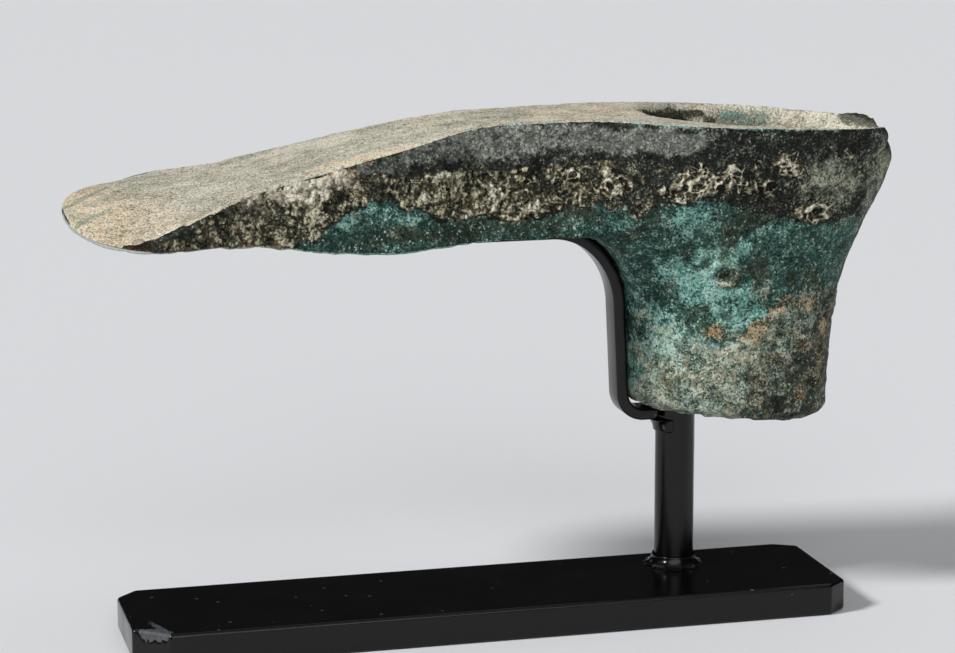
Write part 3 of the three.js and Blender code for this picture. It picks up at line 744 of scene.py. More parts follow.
lace_patches = [
    (-37.3, 49.2, 2.6, 2.4, 0, 0.85), (-29.5, 47.6, 4.7, 2.6, 0, 0.9),
    (-33, 46, 7, 2, 0, 0.6), (-14.2, 48, 4.8, 4.2, 0, 1.6),
    (-6.4, 48.6, 3.3, 3.9, 0, 1), (-1.8, 51.9, 1.4, 1.2, 0, 0.8), (5.1, 50.8, 3.9, 3.7, 0, 1),
    (-1.8, 46.6, 4.7, 2.9, 0, 1.05), (-43.7, 48.9, 3.5, 2.8, 0, 0.6), (11, 41.5, 3.5, 4.5, 0, 0.85),
    (-20.0, 47.5, 3.2, 2.0, 0, 0.5), (-46.6, 46.7, 4.3, 2.4, 0, 0.6),
]
brown_patches = [
    (-89.0, 43.1, 3.5, 4.3, 0, 1.1), (-101.8, 43.5, 7.1, 4.1, 4, 1.1),
    (-24.5, 43.6, 3.2, 1.8, 0, 0.8), (-46.6, 46.1, 15.8, 3.9, 0, 0.75),
    (-64.4, 48.3, 7.9, 3.3, 0, 0.85), (-82.1, 47.6, 5.9, 3.9, 10, 0.7),
    (9.6, 42.2, 4, 3.2, 0, 0.9), (-34.8, 44.3, 5.9, 2.4, 0, 0.7), (20.5, 52.4, 2.8, 2.8, 0, 0.5),
]
# Brownish blots on the malachite: stains, and painted shade in the wide patches low on the blade, about
# 40 mm up
stain_and_shade_patches = [
    (-7.1, 37, 2.2, 4, -10, 1.1), (-0.6, 30.9, 2.6, 2.2, 0, 1.2), (6.9, 28.2, 1.9, 1.8, 0, 1.1),
    (12.2, 29.1, 1.7, 1.8, 0, 1.1), (-21.3, 8.8, 1.2, 1.2, 0, 1.2), (-14.4, 34.6, 2, 1.6, 0, 0.8),
    (-6.9, 22.6, 1.6, 2.0, 0, 0.7), (-6.9, 29.9, 3.2, 2.4, 0, 1.3), (-3, 41, 6, 2.6, 0, 0.85),
    (-24.5, 39, 3.4, 1.8, 0, 0.9), (-17.5, 27, 1.4, 2, 0, 0.7), (10, 25.6, 5, 1.6, 5, 0.8),
    (-58, 40.4, 6, 1.8, 0, 0.9), (-36, 41.5, 6, 2, -10, 0.8), (-47, 40.5, 14, 2.4, 0, 0.6),
    (14.5, 26.5, 2.5, 3, 0, 0.9), (-70, 40, 16, 2, 0, 0.75),
]
tan_patches = [
    (-82.6, 51.2, 4, 2, 15, 1.5), (-76.4, 54.0, 2.6, 1.2, 10, 1.5), (-69.9, 45.3, 0.9, 0.9, 0, 1),
    (-19.8, 20.1, 1.8, 3.4, 0, 0.7), (-9.1, 19.4, 2.6, 2.2, 0, 1.3), (-20.6, 12.9, 2, 2.6, 0, 0.9),
    (-0.8, 19.2, 6.4, 1.7, 36, 1.35), (4.6, 23.8, 4.2, 2.2, 32, 1.2), (11.0, 23.5, 4.5, 1.6, 5, 0.9),
    (1, 18, 8, 4, 30, 0.6),
    (14.5, 13, 1.6, 9, 0, 1), (9.6, 41.2, 3.2, 2.6, 0, 0.5), (-24.5, 43.8, 2.2, 1.6, 0, 0.6),
    (5.1, 42.8, 0.6, 0.6, 0, 0.9), (-7, 9, 5, 3.4, 20, 0.95), (4, 12.5, 4, 2, 20, 0.8),
    (6, 18, 5, 3, 0, 0.7), (-18, 4, 6, 1.6, 0, 0.7), (10, 6, 6, 4, 0, 0.6), (-15, 12, 3, 4, 0, 0.55),
    (-91, 47, 5, 2, 0, 0.45), (2, 3, 9, 2, 0, 0.6),
]
pale_patches = [
    (15.0, 47.6, 8.5, 5.4, 0, 1.05), (23.6, 44.4, 2.4, 7.5, 0, 0.9), (27, 47.5, 2.8, 6.5, -12, 1.1),
    (0.8, 27.6, 2.6, 1.8, 0, 0.7),
]
glow_patches = [
    (-82.7, 43.7, 2.4, 1.8, 0, 0.75), (-77.2, 45.4, 2.8, 1.4, 0, 0.75),
    (-70.3, 43.3, 4.7, 1.6, 0, 0.45), (-14.0, 40.6, 3.7, 3.5, 0, 1.1),
    (-8.1, 34.8, 5.7, 3.0, 0, 1.1), (-15.0, 29.7, 5.9, 4.7, 0, 0.95),
    (-10.7, 26.1, 7.5, 2.0, 0, 0.8), (-22.9, 10.6, 2.6, 6.5, 0, 1.2),
    (-3, 26.6, 2.4, 1.9, 0, 1), (-12.5, 41.4, 3.8, 1.7, -25, 1.3), (-9.8, 29.3, 4, 2.6, -20, 1.1),
    (-22.9, 25.2, 2.8, 7.9, 0, 0.45),
    (-28.8, 40.1, 5.9, 2.4, 0, 0.5), (-19.0, 21.1, 5.1, 3.2, 0, 0.6),
    (4.7, 37.5, 5.9, 2.0, 0, 0.45), (-3.5, 22.5, 7, 3.4, 0, 0.9),
    (-15, 17, 6, 4, 0, 0.8), (-46.6, 59.2, 3.5, 1.4, 0, 0.5),
]
green_patches = [(-22.9, 10.6, 3, 7.8, 0, 1.7), (-17, 14, 6, 4, 0, 0.5)]

# Round pits of the near side and a crusty ring, each as x, height and radius, and how much
# longer than high the ring is
pits = [
    (10.2, 45.4, 1.0), (13.6, 45.5, 1.0), (-19.2, 12.7, 0.5), (-3.2, 46.7, 0.7),
    (-0.6, 45.6, 0.7), (-61.0, 49.1, 1.0), (-57.5, 45.4, 1.4), (-43.5, 51.2, 1.6),
]
ring = (-6.9, 29.9, 1.9)
RING_STRETCH = 1.3


# Squared distance at which a patch ends
PATCH_END = 1.35


def patches(table, x, z):
    """Strength of a set of patches: for each ellipse, strength * (1 - d^2 / PATCH_END) and
    never less than 0, where d is the distance from its middle, in units of its half
    length and half height. Where patches overlap, the strongest counts."""
    total = np.zeros_like(x)
    for at_x, at_z, reach, tall, degrees, strength in table:
        turn = math.radians(degrees)
        along_it = (x - at_x) * math.cos(turn) + (z - at_z) * math.sin(turn)
        across_it = (z - at_z) * math.cos(turn) - (x - at_x) * math.sin(turn)
        squared = (along_it / reach) ** 2 + (across_it / tall) ** 2
        total = np.maximum(total, strength * np.clip(1 - squared / PATCH_END, 0, 1))
    return total


def bent(p, seed):
    """Points in millimetres pushed about by noises of three sizes, so that borders wander."""
    push = 0
    for size, reach, shift in ((9, 1.7, 0), (3.2, 1.0, 10), (1.3, 0.45, 20)):
        push = push + reach * np.stack([noise(p, size, seed + shift + k) for k in range(3)], -1)
    return p + push


def patina(shape, points, normals, inside):
    """Strength of each layer of the patina, and of the painted light, shade, sheen and reflection
    among them, at points of the adze, 0 to 1. points are in the adze's own frame, in metres, and
    inside is 1 on the socket's wall. Most borders follow x and z, which noise pushes about, and
    what keeps to the form follows the true place: ahead, across and height. The far side carries
    the near side's layers, moved along and bent by noise, because such patina is never the same
    twice."""
    p = points / MM
    ahead, across, height = p.T
    x, z = bent(p, 1).T[[0, 2]]
    far = ease(-2, 2, across)
    x = x + far * (9 + 5 * noise(p, 30, 9))
    z = z + far * 2.5 * noise(p, 18, 10)
    z = z + 10 * ease(17, 27, ahead) * fractal(p, 9, 4, 68, 0.6)

    # The form: depth under the tilted top face, half width and thickness
    rise = normals[:, 2]
    outside = 1 - inside
    bend = along(twist_shares, shape.place(points[:, 0]))
    tilt = math.tan(shape.tip_twist) * bend * (across + shape.tip_sway / MM * bend)
    depth = shape.top(points[:, 0]) / MM + tilt - height
    half = shape.half_width(points[:, 0]) / MM
    thick = (shape.top(points[:, 0]) - shape.underside(points[:, 0])) / MM

    # The top face, which a dark wedge of painted shade narrows near the tip, then the underside and the
    # flanks
    crease = mix(0.35, 0.8, ease(-78, -58, ahead))
    shaded_wedge = 2.6 * ease(-124, -116.5, ahead) * ease(-106, -115, ahead)
    inset = half - shaded_wedge
    rim = ease(1.8, 0.8, depth) * ease(half - 0.8, half - 2, np.abs(across)) * ease(-20, -15, ahead)
    top = np.maximum(ease(crease - 0.14, crease + 0.14, rise), rim) * outside
    top = top * ease(inset + 0.6, inset - 0.2, np.abs(across) * (shaded_wedge > 0.1))
    under = ease(0.45, 0.8, -rise) * outside
    side = np.clip(1 - top - inside, 0, 1)

    # Malachite, bright in places, down to the collar's grey green foot, partly painted light on its
    # left and shade on its right
    teal = ease(-1.2, 1.2, along(teal_top_line, x) - z) * ease(-96, -88, x)
    soft = mix(4.5, 2.5, ease(-8, 2, x))
    above_foot = ease(-1, 1, (z - along(teal_foot_line, x)) / soft)
    above_foot = np.maximum(above_foot, 1 - ease(-29, -25, x))
    bright = np.clip(patches(glow_patches, x, z), 0, 1)
    # Partly painted light and shade on the collar's foot: lighter olive towards the left, where the
    # light comes from, and shade colours towards the right
    painted_light_left = ease(11, -7, x + 4 * noise(p, 9, 11) - 0.45 * (z - 8)) * 0.95
    glow = np.where(above_foot > 0.5, bright, np.maximum(bright, painted_light_left))
    butt_blots = 1.2 * ease(18, 27, ahead) * ease(-0.1, 0.4, noise(p, 6, 69))

    # The bare dark band under the top face's edge, and the crust below it
    wander = 1.6 * fractal(p, 4.5, 3, 64) * ease(-100, -75, ahead)
    band_depth = along(band_depths, ahead + 2 * noise(p, 3, 14))
    band = ease(0.5, -0.5, depth + wander - band_depth) * side
    blade = ease(-123, -115, ahead)
    laced = patches(lace_patches, x, z)
    crust = (1 - band) * (1 - teal) * (0.6 - 0.3 * np.clip(laced, 0, 1))
    crust = crust * blade * mix(1, 0.55, ease(-33, -22, ahead))
    dusty = ease(5, 1.5, depth) * ease(-76, -86, x) * ease(-105, -92, x)
    # Painted light on the crust: strongest 92 to 87 mm in front of the collar's axis, gone by 83 mm,
    # weaker nearer the cutting edge
    lit = mix(0.3, 0.6, ease(-98, -92, ahead)) * ease(-83, -87, ahead)

    # The cutting edge's worn sand, pale rim and rust, and the line behind it
    wear = ease(2.2, 0.4, depth) * ease(-100, -125, x) * blade
    edge = side * ease(-117, -120, ahead) * ease(thick - 0.7, thick - 0.5, depth)
    rust = side * ease(-128, -126, ahead) * ease(-117, -120, ahead) * (1 - edge)
    line = side * ease(0.6, 0.35, depth) * ease(-105, -102, ahead) * ease(-60, -66, ahead)

    # The minty trim along the near edge, partly a painted highlight on that edge
    to_edge = np.where(across < 0, half - np.abs(across), 9)
    trim = np.maximum(side * ease(0.9, 0.4, depth), 0.8 * top * ease(1.8, 0.6, to_edge))
    trim = trim * ease(-64, -54, ahead) * mix(1, 0.72, ease(-24, -14, ahead))
    trim = trim * ease(31, 24, ahead)

    # The socket's mouth, and the dark spot at the back of its lip
    spot = ease(5.5, 3.5, np.hypot(ahead - 31, (across - 4) / 2.1) + noise(p, 2, 16))
    wavy = ahead + 2 * noise(p, 5, 12)
    turquoise = ease(-2, 5, wavy) * ease(19, 13, wavy)
    turquoise = turquoise * ease(0.4, 1.4, depth + noise(p, 2, 15))
    hollow = ease(4, -3, wavy + 5 * noise(p, 2.2, 18))
    hollow = hollow * ease(0.7, 1.5, depth + 0.5 * noise(p, 1.5, 17))

    # Lime on the crusty ring
    ring_x, ring_height, radius = ring
    from_ring = np.hypot((ahead - ring_x) / RING_STRETCH, height - ring_height) - radius
    ring_lime = ease(1.1, 0.4, np.abs(from_ring)) * (across < 0)
    ring_lime = ring_lime * (0.5 + 0.5 * noise(p, 1.2, 67))

    return dict(
        sand=np.clip(np.maximum(top * (1 - spot), side * wear), 0, 1),
        stain=top_stain(p),
        streak=top_streak(p) * top,
        teal=np.maximum(teal * side, under * ease(-96, -84, x)),
        # painted reflection: a paler band where the blade's lower edge turns to face down
        verge=ease(-0.1, -0.5, rise) * ease(-0.98, -0.85, rise) * outside * ease(-40, -62, x),
        olive=teal * (1 - above_foot) * side,
        glow=np.clip(glow, 0, 1),
        # painted sheen on the dark bronze
        green=patches(green_patches, x, z) * side,
        grey=patches(painted_sheen_patches, x, z) * side,
        crust=side * crust,
        brown=patches(brown_patches, x, z) * side * (1 - 0.35 * np.clip(laced, 0, 1)),
        # stains, and painted shade in the wide blots low on the blade
        blot=np.maximum(patches(stain_and_shade_patches, x, z), butt_blots) * side,
        cream=np.maximum(patches(cream_patches, x, z), ring_lime) * side,
        lace=laced * side,
        pale=patches(pale_patches, x, z) * side,
        tan=patches(tan_patches, x, z) * side,
        inside=inside,
        deep=inside * np.maximum(turquoise, ease(5, 9, depth + noise(p, 5, 12))),
        # a brown pocket at the front of the socket, and painted shade down its wall deeper than about 7
        # mm
        mouth=inside * np.maximum(hollow, 0.75 * ease(7, 14, depth + noise(p, 5, 13))),
        edge=edge,
        rust=rust,
        line=line,
        trim=trim,
        dusty=dusty,
        lit=lit,
        # painted shade: darkens the malachite low on the blade's flank
        gloom=side * ease(-32, -46, ahead) * ease(44.5, 40, height),
        dark=spot * ease(2.6, 1.4, depth) * ease(-0.4, 0.1, rise),
    )


def top_stain(p):
    """Orange stain of the top face: towards the cutting edge and along the near edge."""
    x, y = bent(p, 41).T[:2]
    tip = ease(-108, -128, x + 0.25 * y)
    near = ease(5.5, 1.5, np.hypot((x + 78) / 2.6, y + 16))
    middle = 0.45 * ease(0.1, 0.5, noise(p, 12, 44)) * ease(-75, -60, x)
    return np.maximum(np.maximum(0.85 * tip, 0.95 * near), middle)


def top_streak(p):
    """Grey green streaks across the blade, near its cutting edge."""
    x, y = bent(p, 42).T[:2]
    first = ease(1.6, 0.5, np.abs(y + 7.4 - 0.7 * (x + 126.4))) * ease(-122, -124.5, x)
    second = ease(1.7, 0.6, np.abs(y - 11 - 1.28 * (x + 123.2))) * ease(-117, -119.5, x)
    return np.maximum(first, second)


def relief(points, layers):
    """Height of the cast and corroded surface above the smooth one, in millimetres: slow
    swells all over, then grains, lumps and pits where each layer lies, a lump at the back of
    the lip, and the round pits and the ring."""
    p = points / MM
    ahead, across, height = p.T
    swell = 0.2 * fractal(p, 15, 2, 31) + 0.12 * fractal(p, 5, 2, 32)
    grains = noise(p, 1.3, 33)
    lumps = fractal(p, 2.6, 2, 35)
    large_lumps = fractal(p, 5.5, 2, 39)
    hollows = ease(0.42, 0.12, cells(bent(p, 38), 3.1, 36)[0])
    crusted = np.clip(layers["brown"] + layers["cream"] + layers["crust"], 0, 1)
    rise = swell + 0.04 * grains
    rise += layers["sand"] * 0.06 * grains
    rise += layers["teal"] * (0.14 * lumps + 0.06 * grains - 0.14 * hollows)
    rise += layers["glow"] * (0.1 + 0.16 * grains)
    rise += crusted * (0.3 * large_lumps + 0.3 * lumps + 0.1 * grains - 0.25 * hollows)
    rise += layers["olive"] * (0.16 * lumps + 0.06 * grains - 0.18 * hollows)
    rise += layers["pale"] * 0.12
    knob = np.hypot((ahead - 28.5) / 8, (across - 5) / 8) + 0.25 * noise(p, 4, 40)
    rise += 1.9 * ease(1.1, 0.2, knob) * ease(50, 55, height) * (1 - layers["inside"])
    rise -= 0.24 * ease(0.45, 0.8, noise(p, 2.2, 37)) * (1 - layers["sand"])
    near_side = across < 0
    for pit_x, pit_height, radius in pits:
        away = np.hypot(ahead - pit_x, height - pit_height) / radius
        rise -= near_side * 0.8 * min(radius, 1.2) * ease(1.3, 0.5, away)
    ring_x, ring_height, radius = ring
    away = np.hypot((ahead - ring_x) / RING_STRETCH, height - ring_height)
    ridge = 0.55 * ease(1.1, 0.2, np.abs(away - radius))
    rise += near_side * (ridge - 0.5 * ease(radius, 0.3, away))
    return rise


def crust_height(p, layers):
    """Height of the crust above the surface, in millimetres, below 0 where there is none, and
    how limy it is. Lumps are domes round scattered points of two sizes, lower near the tip,
    where a layer of crust and ragged noise together pass a threshold. Strands of two sizes
    run along the walls between scattered cells."""
    pushed = bent(p, 51)
    knobs = 0.7 + 0.35 * noise(p, 0.75, 56) + 0.25 * noise(p, 0.4, 66)
    finer = ease(-0.3, 0.2, noise(p, 2.4, 63))
    strands = 0
    for size, wide, seed, share in ((1.9, 0.13, 52, 1), (1.05, 0.12, 62, finer)):
        near, second = cells(pushed * [1, 1, 1.12], size, seed)
        wide = wide + 0.08 * noise(p, 1.6, seed + 5)
        strand = share * ease(wide + 0.14, wide - 0.1, second - near)
        strands = np.maximum(strands, strand)
    laced = ease(0.34, 0.62, layers["lace"] + 0.4 * fractal(p, 2.6, 3, 55))
    large = np.clip(1 - (cells(pushed, 1.5, 58)[0] / 0.8) ** 2, 0, 1)
    small = np.clip(1 - (cells(bent(p, 71), 0.62, 59)[0] / 0.75) ** 2, 0, 1)
    domes = 0.5 * large + 0.4 * small
    limy = ease(0.4, 0.8, layers["cream"] + 0.45 * fractal(p, 2, 3, 57))
    amount = np.maximum(layers["brown"], np.maximum(layers["cream"], 1.05 * layers["crust"]))
    amount = amount * (1 - 0.8 * np.clip(layers["pale"] * 1.3, 0, 1))
    there = ease(0.42, 0.66, amount + 0.55 * fractal(p, 2.2, 4, 60, 0.65))
    there = there * (1 - 0.68 * laced)
    soft = mix(0.68, 1, ease(-99, -88, p[:, 0]))
    body = 0.1 + soft * domes * (0.9 + 0.3 * limy) + 0.17 * noise(p, 0.42, 61)
    height = np.maximum(strands * laced * knobs * 1.15, there * body) - 0.1
    return height * 0.85, np.maximum(limy * there, ease(0.25, 0.65, strands * laced))


def sheet(name, place, lift, step, deep, tints):
    """A closed crust over a rectangular grid of surface points. place holds the points (rows,
    columns, 3), lift the crust's height there along step, both in metres. Only cells that
    rise above the surface are kept, and none where the lift is below the back's depth,
    which marks places without a surface. Each patch has a back and a wall round it."""
    rows, columns = lift.shape
    around = [lift[:-1, :-1], lift[1:, :-1], lift[:-1, 1:], lift[1:, 1:]]
    i, j = np.nonzero((np.max(around, axis=0) > 0) & (np.min(around, axis=0) > -deep))
    here = i * columns + j
    corners = np.stack([here, here + 1, here + columns + 1, here + columns], axis=-1)
    front = (place + step * lift[..., None]).reshape(-1, 3)
    back = (place - step * deep).reshape(-1, 3)
    edges = np.concatenate([corners[:, [k, (k + 1) % 4]] for k in range(4)])
    keys = edges[:, 0] * rows * columns + edges[:, 1]
    mirrored = edges[:, 1] * rows * columns + edges[:, 0]
    rim = edges[~np.isin(keys, mirrored)]
    total = rows * columns
    walls = np.stack([rim[:, 1], rim[:, 0], rim[:, 0] + total, rim[:, 1] + total], axis=-1)
    faces = np.concatenate([corners, corners[:, ::-1] + total, walls])
    used, renumbered = np.unique(faces, return_inverse=True)
    points = np.concatenate([front, back])[used]
    piece = new_piece(name, points, renumbered.reshape(-1, 4))
    rise = np.concatenate([lift.ravel(), np.full(total, -deep)])[used] / MM
    store(piece.data, "lift", rise)
    for tint, values in tints.items():
        store(piece.data, tint, np.concatenate([values.ravel()] * 2)[used])
    return piece


# Finishes


# White grains in the sand, in Blender's linear colour
WHITE_FLECK = (0.9, 0.9, 0.84)

# Where the Mix node keeps the two values and the result of each kind
MIX_SOCKETS = {"FLOAT": (2, 3, 0), "RGBA": (6, 7, 2)}


class Finish:
    """A procedural material under construction: short calls that add and join nodes."""

    def __init__(self, name):
        self.material = bpy.data.materials.new(name)
        self.material.use_nodes = True
        self.tree = self.material.node_tree
        self.tree.nodes.clear()
        self.shader = self.node("BsdfPrincipled")
        self.node("OutputMaterial", Surface=self.shader.outputs["BSDF"])
        self.coordinates = self.node("TexCoord").outputs["Object"]

    def node(self, kind, **sockets):
        """A new node of a kind, with its sockets filled by name."""
        node = self.tree.nodes.new("ShaderNode" + kind)
        self.fill(node, sockets)
        return node

    def fill(self, node, sockets):
        """Fills a node's sockets by name, with spaces for underlines."""
        for name, value in sockets.items():
            self.put(value, node.inputs[name.replace("_", " ")])

    def put(self, value, socket):
        """Sets a socket to a number or colour, or links another socket to it."""
        if isinstance(value, bpy.types.NodeSocket):
            self.tree.links.new(value, socket)
        elif socket.type == "RGBA":
            socket.default_value = (*value, 1)
        else:
            socket.default_value = value

    def attribute(self, name):
        """A number stored on the mesh's vertices."""
        node = self.node("Attribute")
        node.attribute_name = name
        return node.outputs["Fac"]

    def noise(self, size, detail, roughness, stretch=None):
        """Noise whose features are about a size in metres, drawn out along some axes."""
        place = self.coordinates
        if stretch:
            place = self.node("Mapping", Vector=place, Scale=stretch).outputs["Vector"]
        node = self.node("TexNoise", Vector=place, Scale=1 / size, Detail=detail, Roughness=roughness)
        return node.outputs["Fac"]

    def scatter(self, size):
        """Cells round scattered points, about a size in metres across."""
        return self.node("TexVoronoi", Vector=self.coordinates, Scale=1 / size)

    def grains(self, size):
        """Two random numbers for every grain of about a size in metres."""
        parts = self.node("SeparateColor", Color=self.scatter(size).outputs["Color"])
        return parts.outputs["Red"], parts.outputs["Green"]

    def between(self, value, low, high, to_low=0.0, to_high=1.0):
        """Smooth step of a value from low to high."""
        ends = dict(From_Min=low, From_Max=high, To_Min=to_low, To_Max=to_high)
        node = self.node("MapRange", Value=value, **ends)
        node.interpolation_type = "SMOOTHSTEP"
        return node.outputs["Result"]

    def spread(self, value):
        """Stretches a noise, which keeps near its middle, over the whole range from 0 to 1."""
        return self.between(value, 0.3, 0.7)

    def math(self, operation, *values):
        """Arithmetic on two or three values."""
        node = self.node("Math")
        node.operation = operation
        for value, socket in zip(values, node.inputs):
            self.put(value, socket)
        return node.outputs["Value"]

    def partly(self, share, strength):
        """A share, weakened by a number or by another share."""
        return self.math("MULTIPLY", share, strength)

    def sum(self, *parts, offset=0.0):
        """Weighted sum of values, given as pairs of value and weight."""
        total = offset
        for value, weight in parts:
            total = self.math("MULTIPLY_ADD", value, weight, total)
        return total

    def ramp(self, value, stops):
        """Colour along a value, through stops of place and colour."""
        node = self.node("ValToRGB", Fac=value)
        elements = node.color_ramp.elements
        for i, (place, shade) in enumerate(stops):
            element = elements[i] if i < 2 else elements.new(place)
            element.position = place
            element.color = (*shade, 1)
        return node.outputs["Color"]

    def tones(self, colours, name, value, low, high):
        """A layer's dark, middle and light colours along a value."""
        stops = [getattr(colours, name + end) for end in ("_dark", "", "_light")]
        return self.ramp(value, zip((low, (low + high) / 2, high), stops))

    def mix(self, share, a, b, kind="RGBA"):
        """Blend of two colours, or of two numbers if the kind is FLOAT."""
        node = self.node("Mix")
        node.data_type = kind
        first, second, result = MIX_SOCKETS[kind]
        for value, socket in ((share, "Factor"), (a, first), (b, second)):
            self.put(value, node.inputs[socket])
        return node.outputs[result]

    def blend(self, share, a, b):
        """Blend of two numbers."""
        return self.mix(share, a, b, "FLOAT")

    def bump(self, height, distance, strength, under=None):
        """Normal of a surface raised by a height, over another normal where one is given."""
        node = self.node("Bump", Height=height, Distance=distance, Strength=strength)
        if under:
            self.put(under, node.inputs["Normal"])
        return node.outputs["Normal"]

    def set(self, **sockets):
        """Fills the shader's sockets by name, and gives the finished material."""
        self.fill(self.shader, sockets)
        return self.material


def bronze_finish(colours):
    """Patina: dark bronze under malachite, brown and olive crusts, lime and sand, with painted
    sheen, glints, light and shade in places. A layer shows where its attribute and a ragged noise
    together pass a threshold, and each layer goes from its dark colour in hollows to its light one
    on crests."""
    f = Finish("Buried bronze patina")
    broad = f.spread(f.noise(15 * MM, 2, 0.5))
    coarse = f.spread(f.noise(6 * MM, 3, 0.55))
    middle = f.spread(f.noise(1.8 * MM, 3, 0.6))
    fine = f.spread(f.noise(0.55 * MM, 3, 0.7))
    grain, other = f.grains(0.32 * MM)
    lift = f.attribute("lift")
    ragged = f.sum((coarse, 0.2), (middle, 0.3), (fine, 0.25), (other, 0.25))
    tone = f.sum((coarse, 0.1), (middle, 0.2), (fine, 0.3), (grain, 0.3), (lift, 0.35), offset=-0.14)
    sharp = f.sum((coarse, 0.12), (middle, 0.23), (fine, 0.35), (grain, 0.35), offset=-0.03)

    def laid(name, amount=0.8, edge=0.06, at=0.5):
        """Where a layer shows: its attribute plus ragged noise, cut off at a threshold."""
        field = f.sum((f.attribute(name), 1), (ragged, amount), offset=-amount / 2)
        return f.between(field, at - edge, at + edge)

    def tones(name, value=tone, low=0.22, high=0.8):
        """The layer's dark, middle and light colours along a value."""
        return f.tones(colours, name, value, low, high)

    # Dark bronze, its light grains partly painted highlights, under a painted grey sheen, with thin
    # crust
    base = f.mix(laid("grey", 1, 0.35), tones("black", sharp, 0.25, 0.92), tones("grey"))
    base = f.mix(f.partly(laid("crust", 1.1, 0.1), 0.8), base, tones("brown", tone, 0.3, 1))

    # Malachite, clouded and stained, with painted shade low on the blade
    malachite = f.mix(laid("glow", 1.3, 0.3, 0.5), tones("teal"), tones("glow"))
    clouds = f.between(f.noise(8 * MM, 3, 0.6), 0.48, 0.6)
    cloudy = f.partly(clouds, f.between(other, 0.2, 0.6))
    malachite = f.mix(f.partly(cloudy, 0.6), malachite, tones("cloud"))
    # Brownish blots: stains, and painted shade low on the blade
    blotted_and_shaded = f.partly(laid("blot", 1, 0.3), 0.85)
    malachite = f.mix(blotted_and_shaded, malachite, tones("cloud", tone, 0.3, 0.9))
    # Painted shade: the malachite turns towards dark teal low on the blade's flank
    malachite = f.mix(f.partly(f.attribute("gloom"), 0.35), malachite, colours.teal_dark)
    base = f.mix(laid("teal", 1, 0.1), base, malachite)

    # The collar's grey green foot, rusty and green in places, partly painted lighter on its left and
    # darker on its right
    foot = f.mix(laid("glow", 1.5, 0.5, 0.45), tones("shade"), tones("olive"))
    rust_clouds = f.between(f.noise(3.2 * MM, 3, 0.6), 0.5, 0.62)
    rusty = f.partly(rust_clouds, f.between(other, 0.35, 0.75))
    foot = f.mix(f.partly(rusty, 0.55), foot, tones("tan"))
    foot = f.mix(f.partly(laid("green", 1.2, 0.35), 0.8), foot, tones("glow"))
    base = f.mix(laid("olive", 1.7, 0.3), base, foot)

    # Brown crust, pale stone, tan and lime
    crust = tones("brown")
    base = f.mix(laid("brown", 1.1), base, crust)
    stone = f.mix(0.45, tones("olive"), crust)
    base = f.mix(f.partly(laid("pale", 1.3, 0.45), 0.85), base, stone)
    tanned = f.partly(laid("tan", 2, 0.5, 1.02), 0.8)
    base = f.mix(tanned, base, tones("tan", sharp, 0.05, 0.72))
    bloom = f.partly(laid("cream", 1.7, 0.35, 0.85), 0.85)
    base = f.mix(bloom, base, tones("cream", tone, 0.05, 0.6))

    # The blade's lower edge, paler where it turns to face down as a painted reflection, then light and
    # dark flecks
    verge = f.mix(laid("teal", 0.8), tones("olive", tone, 0.1, 0.6), tones("glow", tone, 0.15, 0.7))
    base = f.mix(f.partly(laid("verge", 0.6, 0.25), 0.85), base, verge)
    # The light flecks are painted glints: tiny highlights on the malachite and lime
    often = f.sum((other, 1), (f.attribute("glow"), 0.11), (f.attribute("teal"), 0.02))
    painted_glints = f.partly(f.between(often, 0.94, 0.98), f.between(middle, 0.3, 0.7))
    light = f.mix(laid("teal", 0.8), colours.cream_light, colours.glow_light)
    fewer = f.blend(laid("teal", 0.8), 0.35, 0.7)
    base = f.mix(f.partly(painted_glints, fewer), base, light)
    base = f.mix(f.partly(f.between(other, 0.12, 0.06), 0.7), base, colours.black_dark)

    # The cutting edge's rim and rust, and the line behind it
    rim = f.mix(f.partly(fine, 0.4), colours.rim, colours.grey)
    base = f.mix(laid("edge", 0.5, 0.2), base, rim)
    rust = f.mix(f.between(sharp, 0.4, 0.75), colours.black_dark, colours.rust)
    base = f.mix(laid("rust", 0.6, 0.2), base, rust)
    line = f.partly(f.between(f.attribute("line"), 0.3, 0.6), 0.85)
    base = f.mix(line, base, tones("black", sharp, 0.3, 1.2))

    # Sand on the top face, orange in places, with dull clouds, streaks and flecks
    crumbs = f.spread(f.noise(0.5 * MM, 3, 0.7, (1, 0.6, 1)))
    dust = f.sum((broad, 0.14), (coarse, 0.18), (middle, 0.12), (crumbs, 0.34), (grain, 0.26))
    orange = f.partly(f.attribute("stain"), f.between(middle, -0.3, 0.5))
    sandy = f.mix(orange, tones("sand", dust, 0.2, 0.82), tones("peach", dust, 0.15, 0.88))
    dull = f.between(f.noise(9 * MM, 4, 0.6), 0.5, 0.64)
    sandy = f.mix(f.partly(dull, 0.4), sandy, tones("olive", dust, 0.1, 0.8))
    sandy = f.mix(f.partly(laid("streak", 0.8, 0.25), 0.6), sandy, tones("olive"))
    sandy = f.mix(f.partly(f.between(other, 0.12, 0.06), 0.5), sandy, colours.black)
    sandy = f.mix(f.partly(f.between(other, 0.95, 0.98), 0.6), sandy, WHITE_FLECK)
    base = f.mix(laid("sand", 0.6), base, sandy)
    # Minty trim along the near edge: patina colour, partly a painted highlight
    minty = f.mix(f.between(coarse, 0.3, 0.7), tones("olive", tone, 0.1, 0.7), tones("glow"))
    base = f.mix(f.partly(laid("trim", 1.3, 0.25, 0.65), 0.75), base, minty)

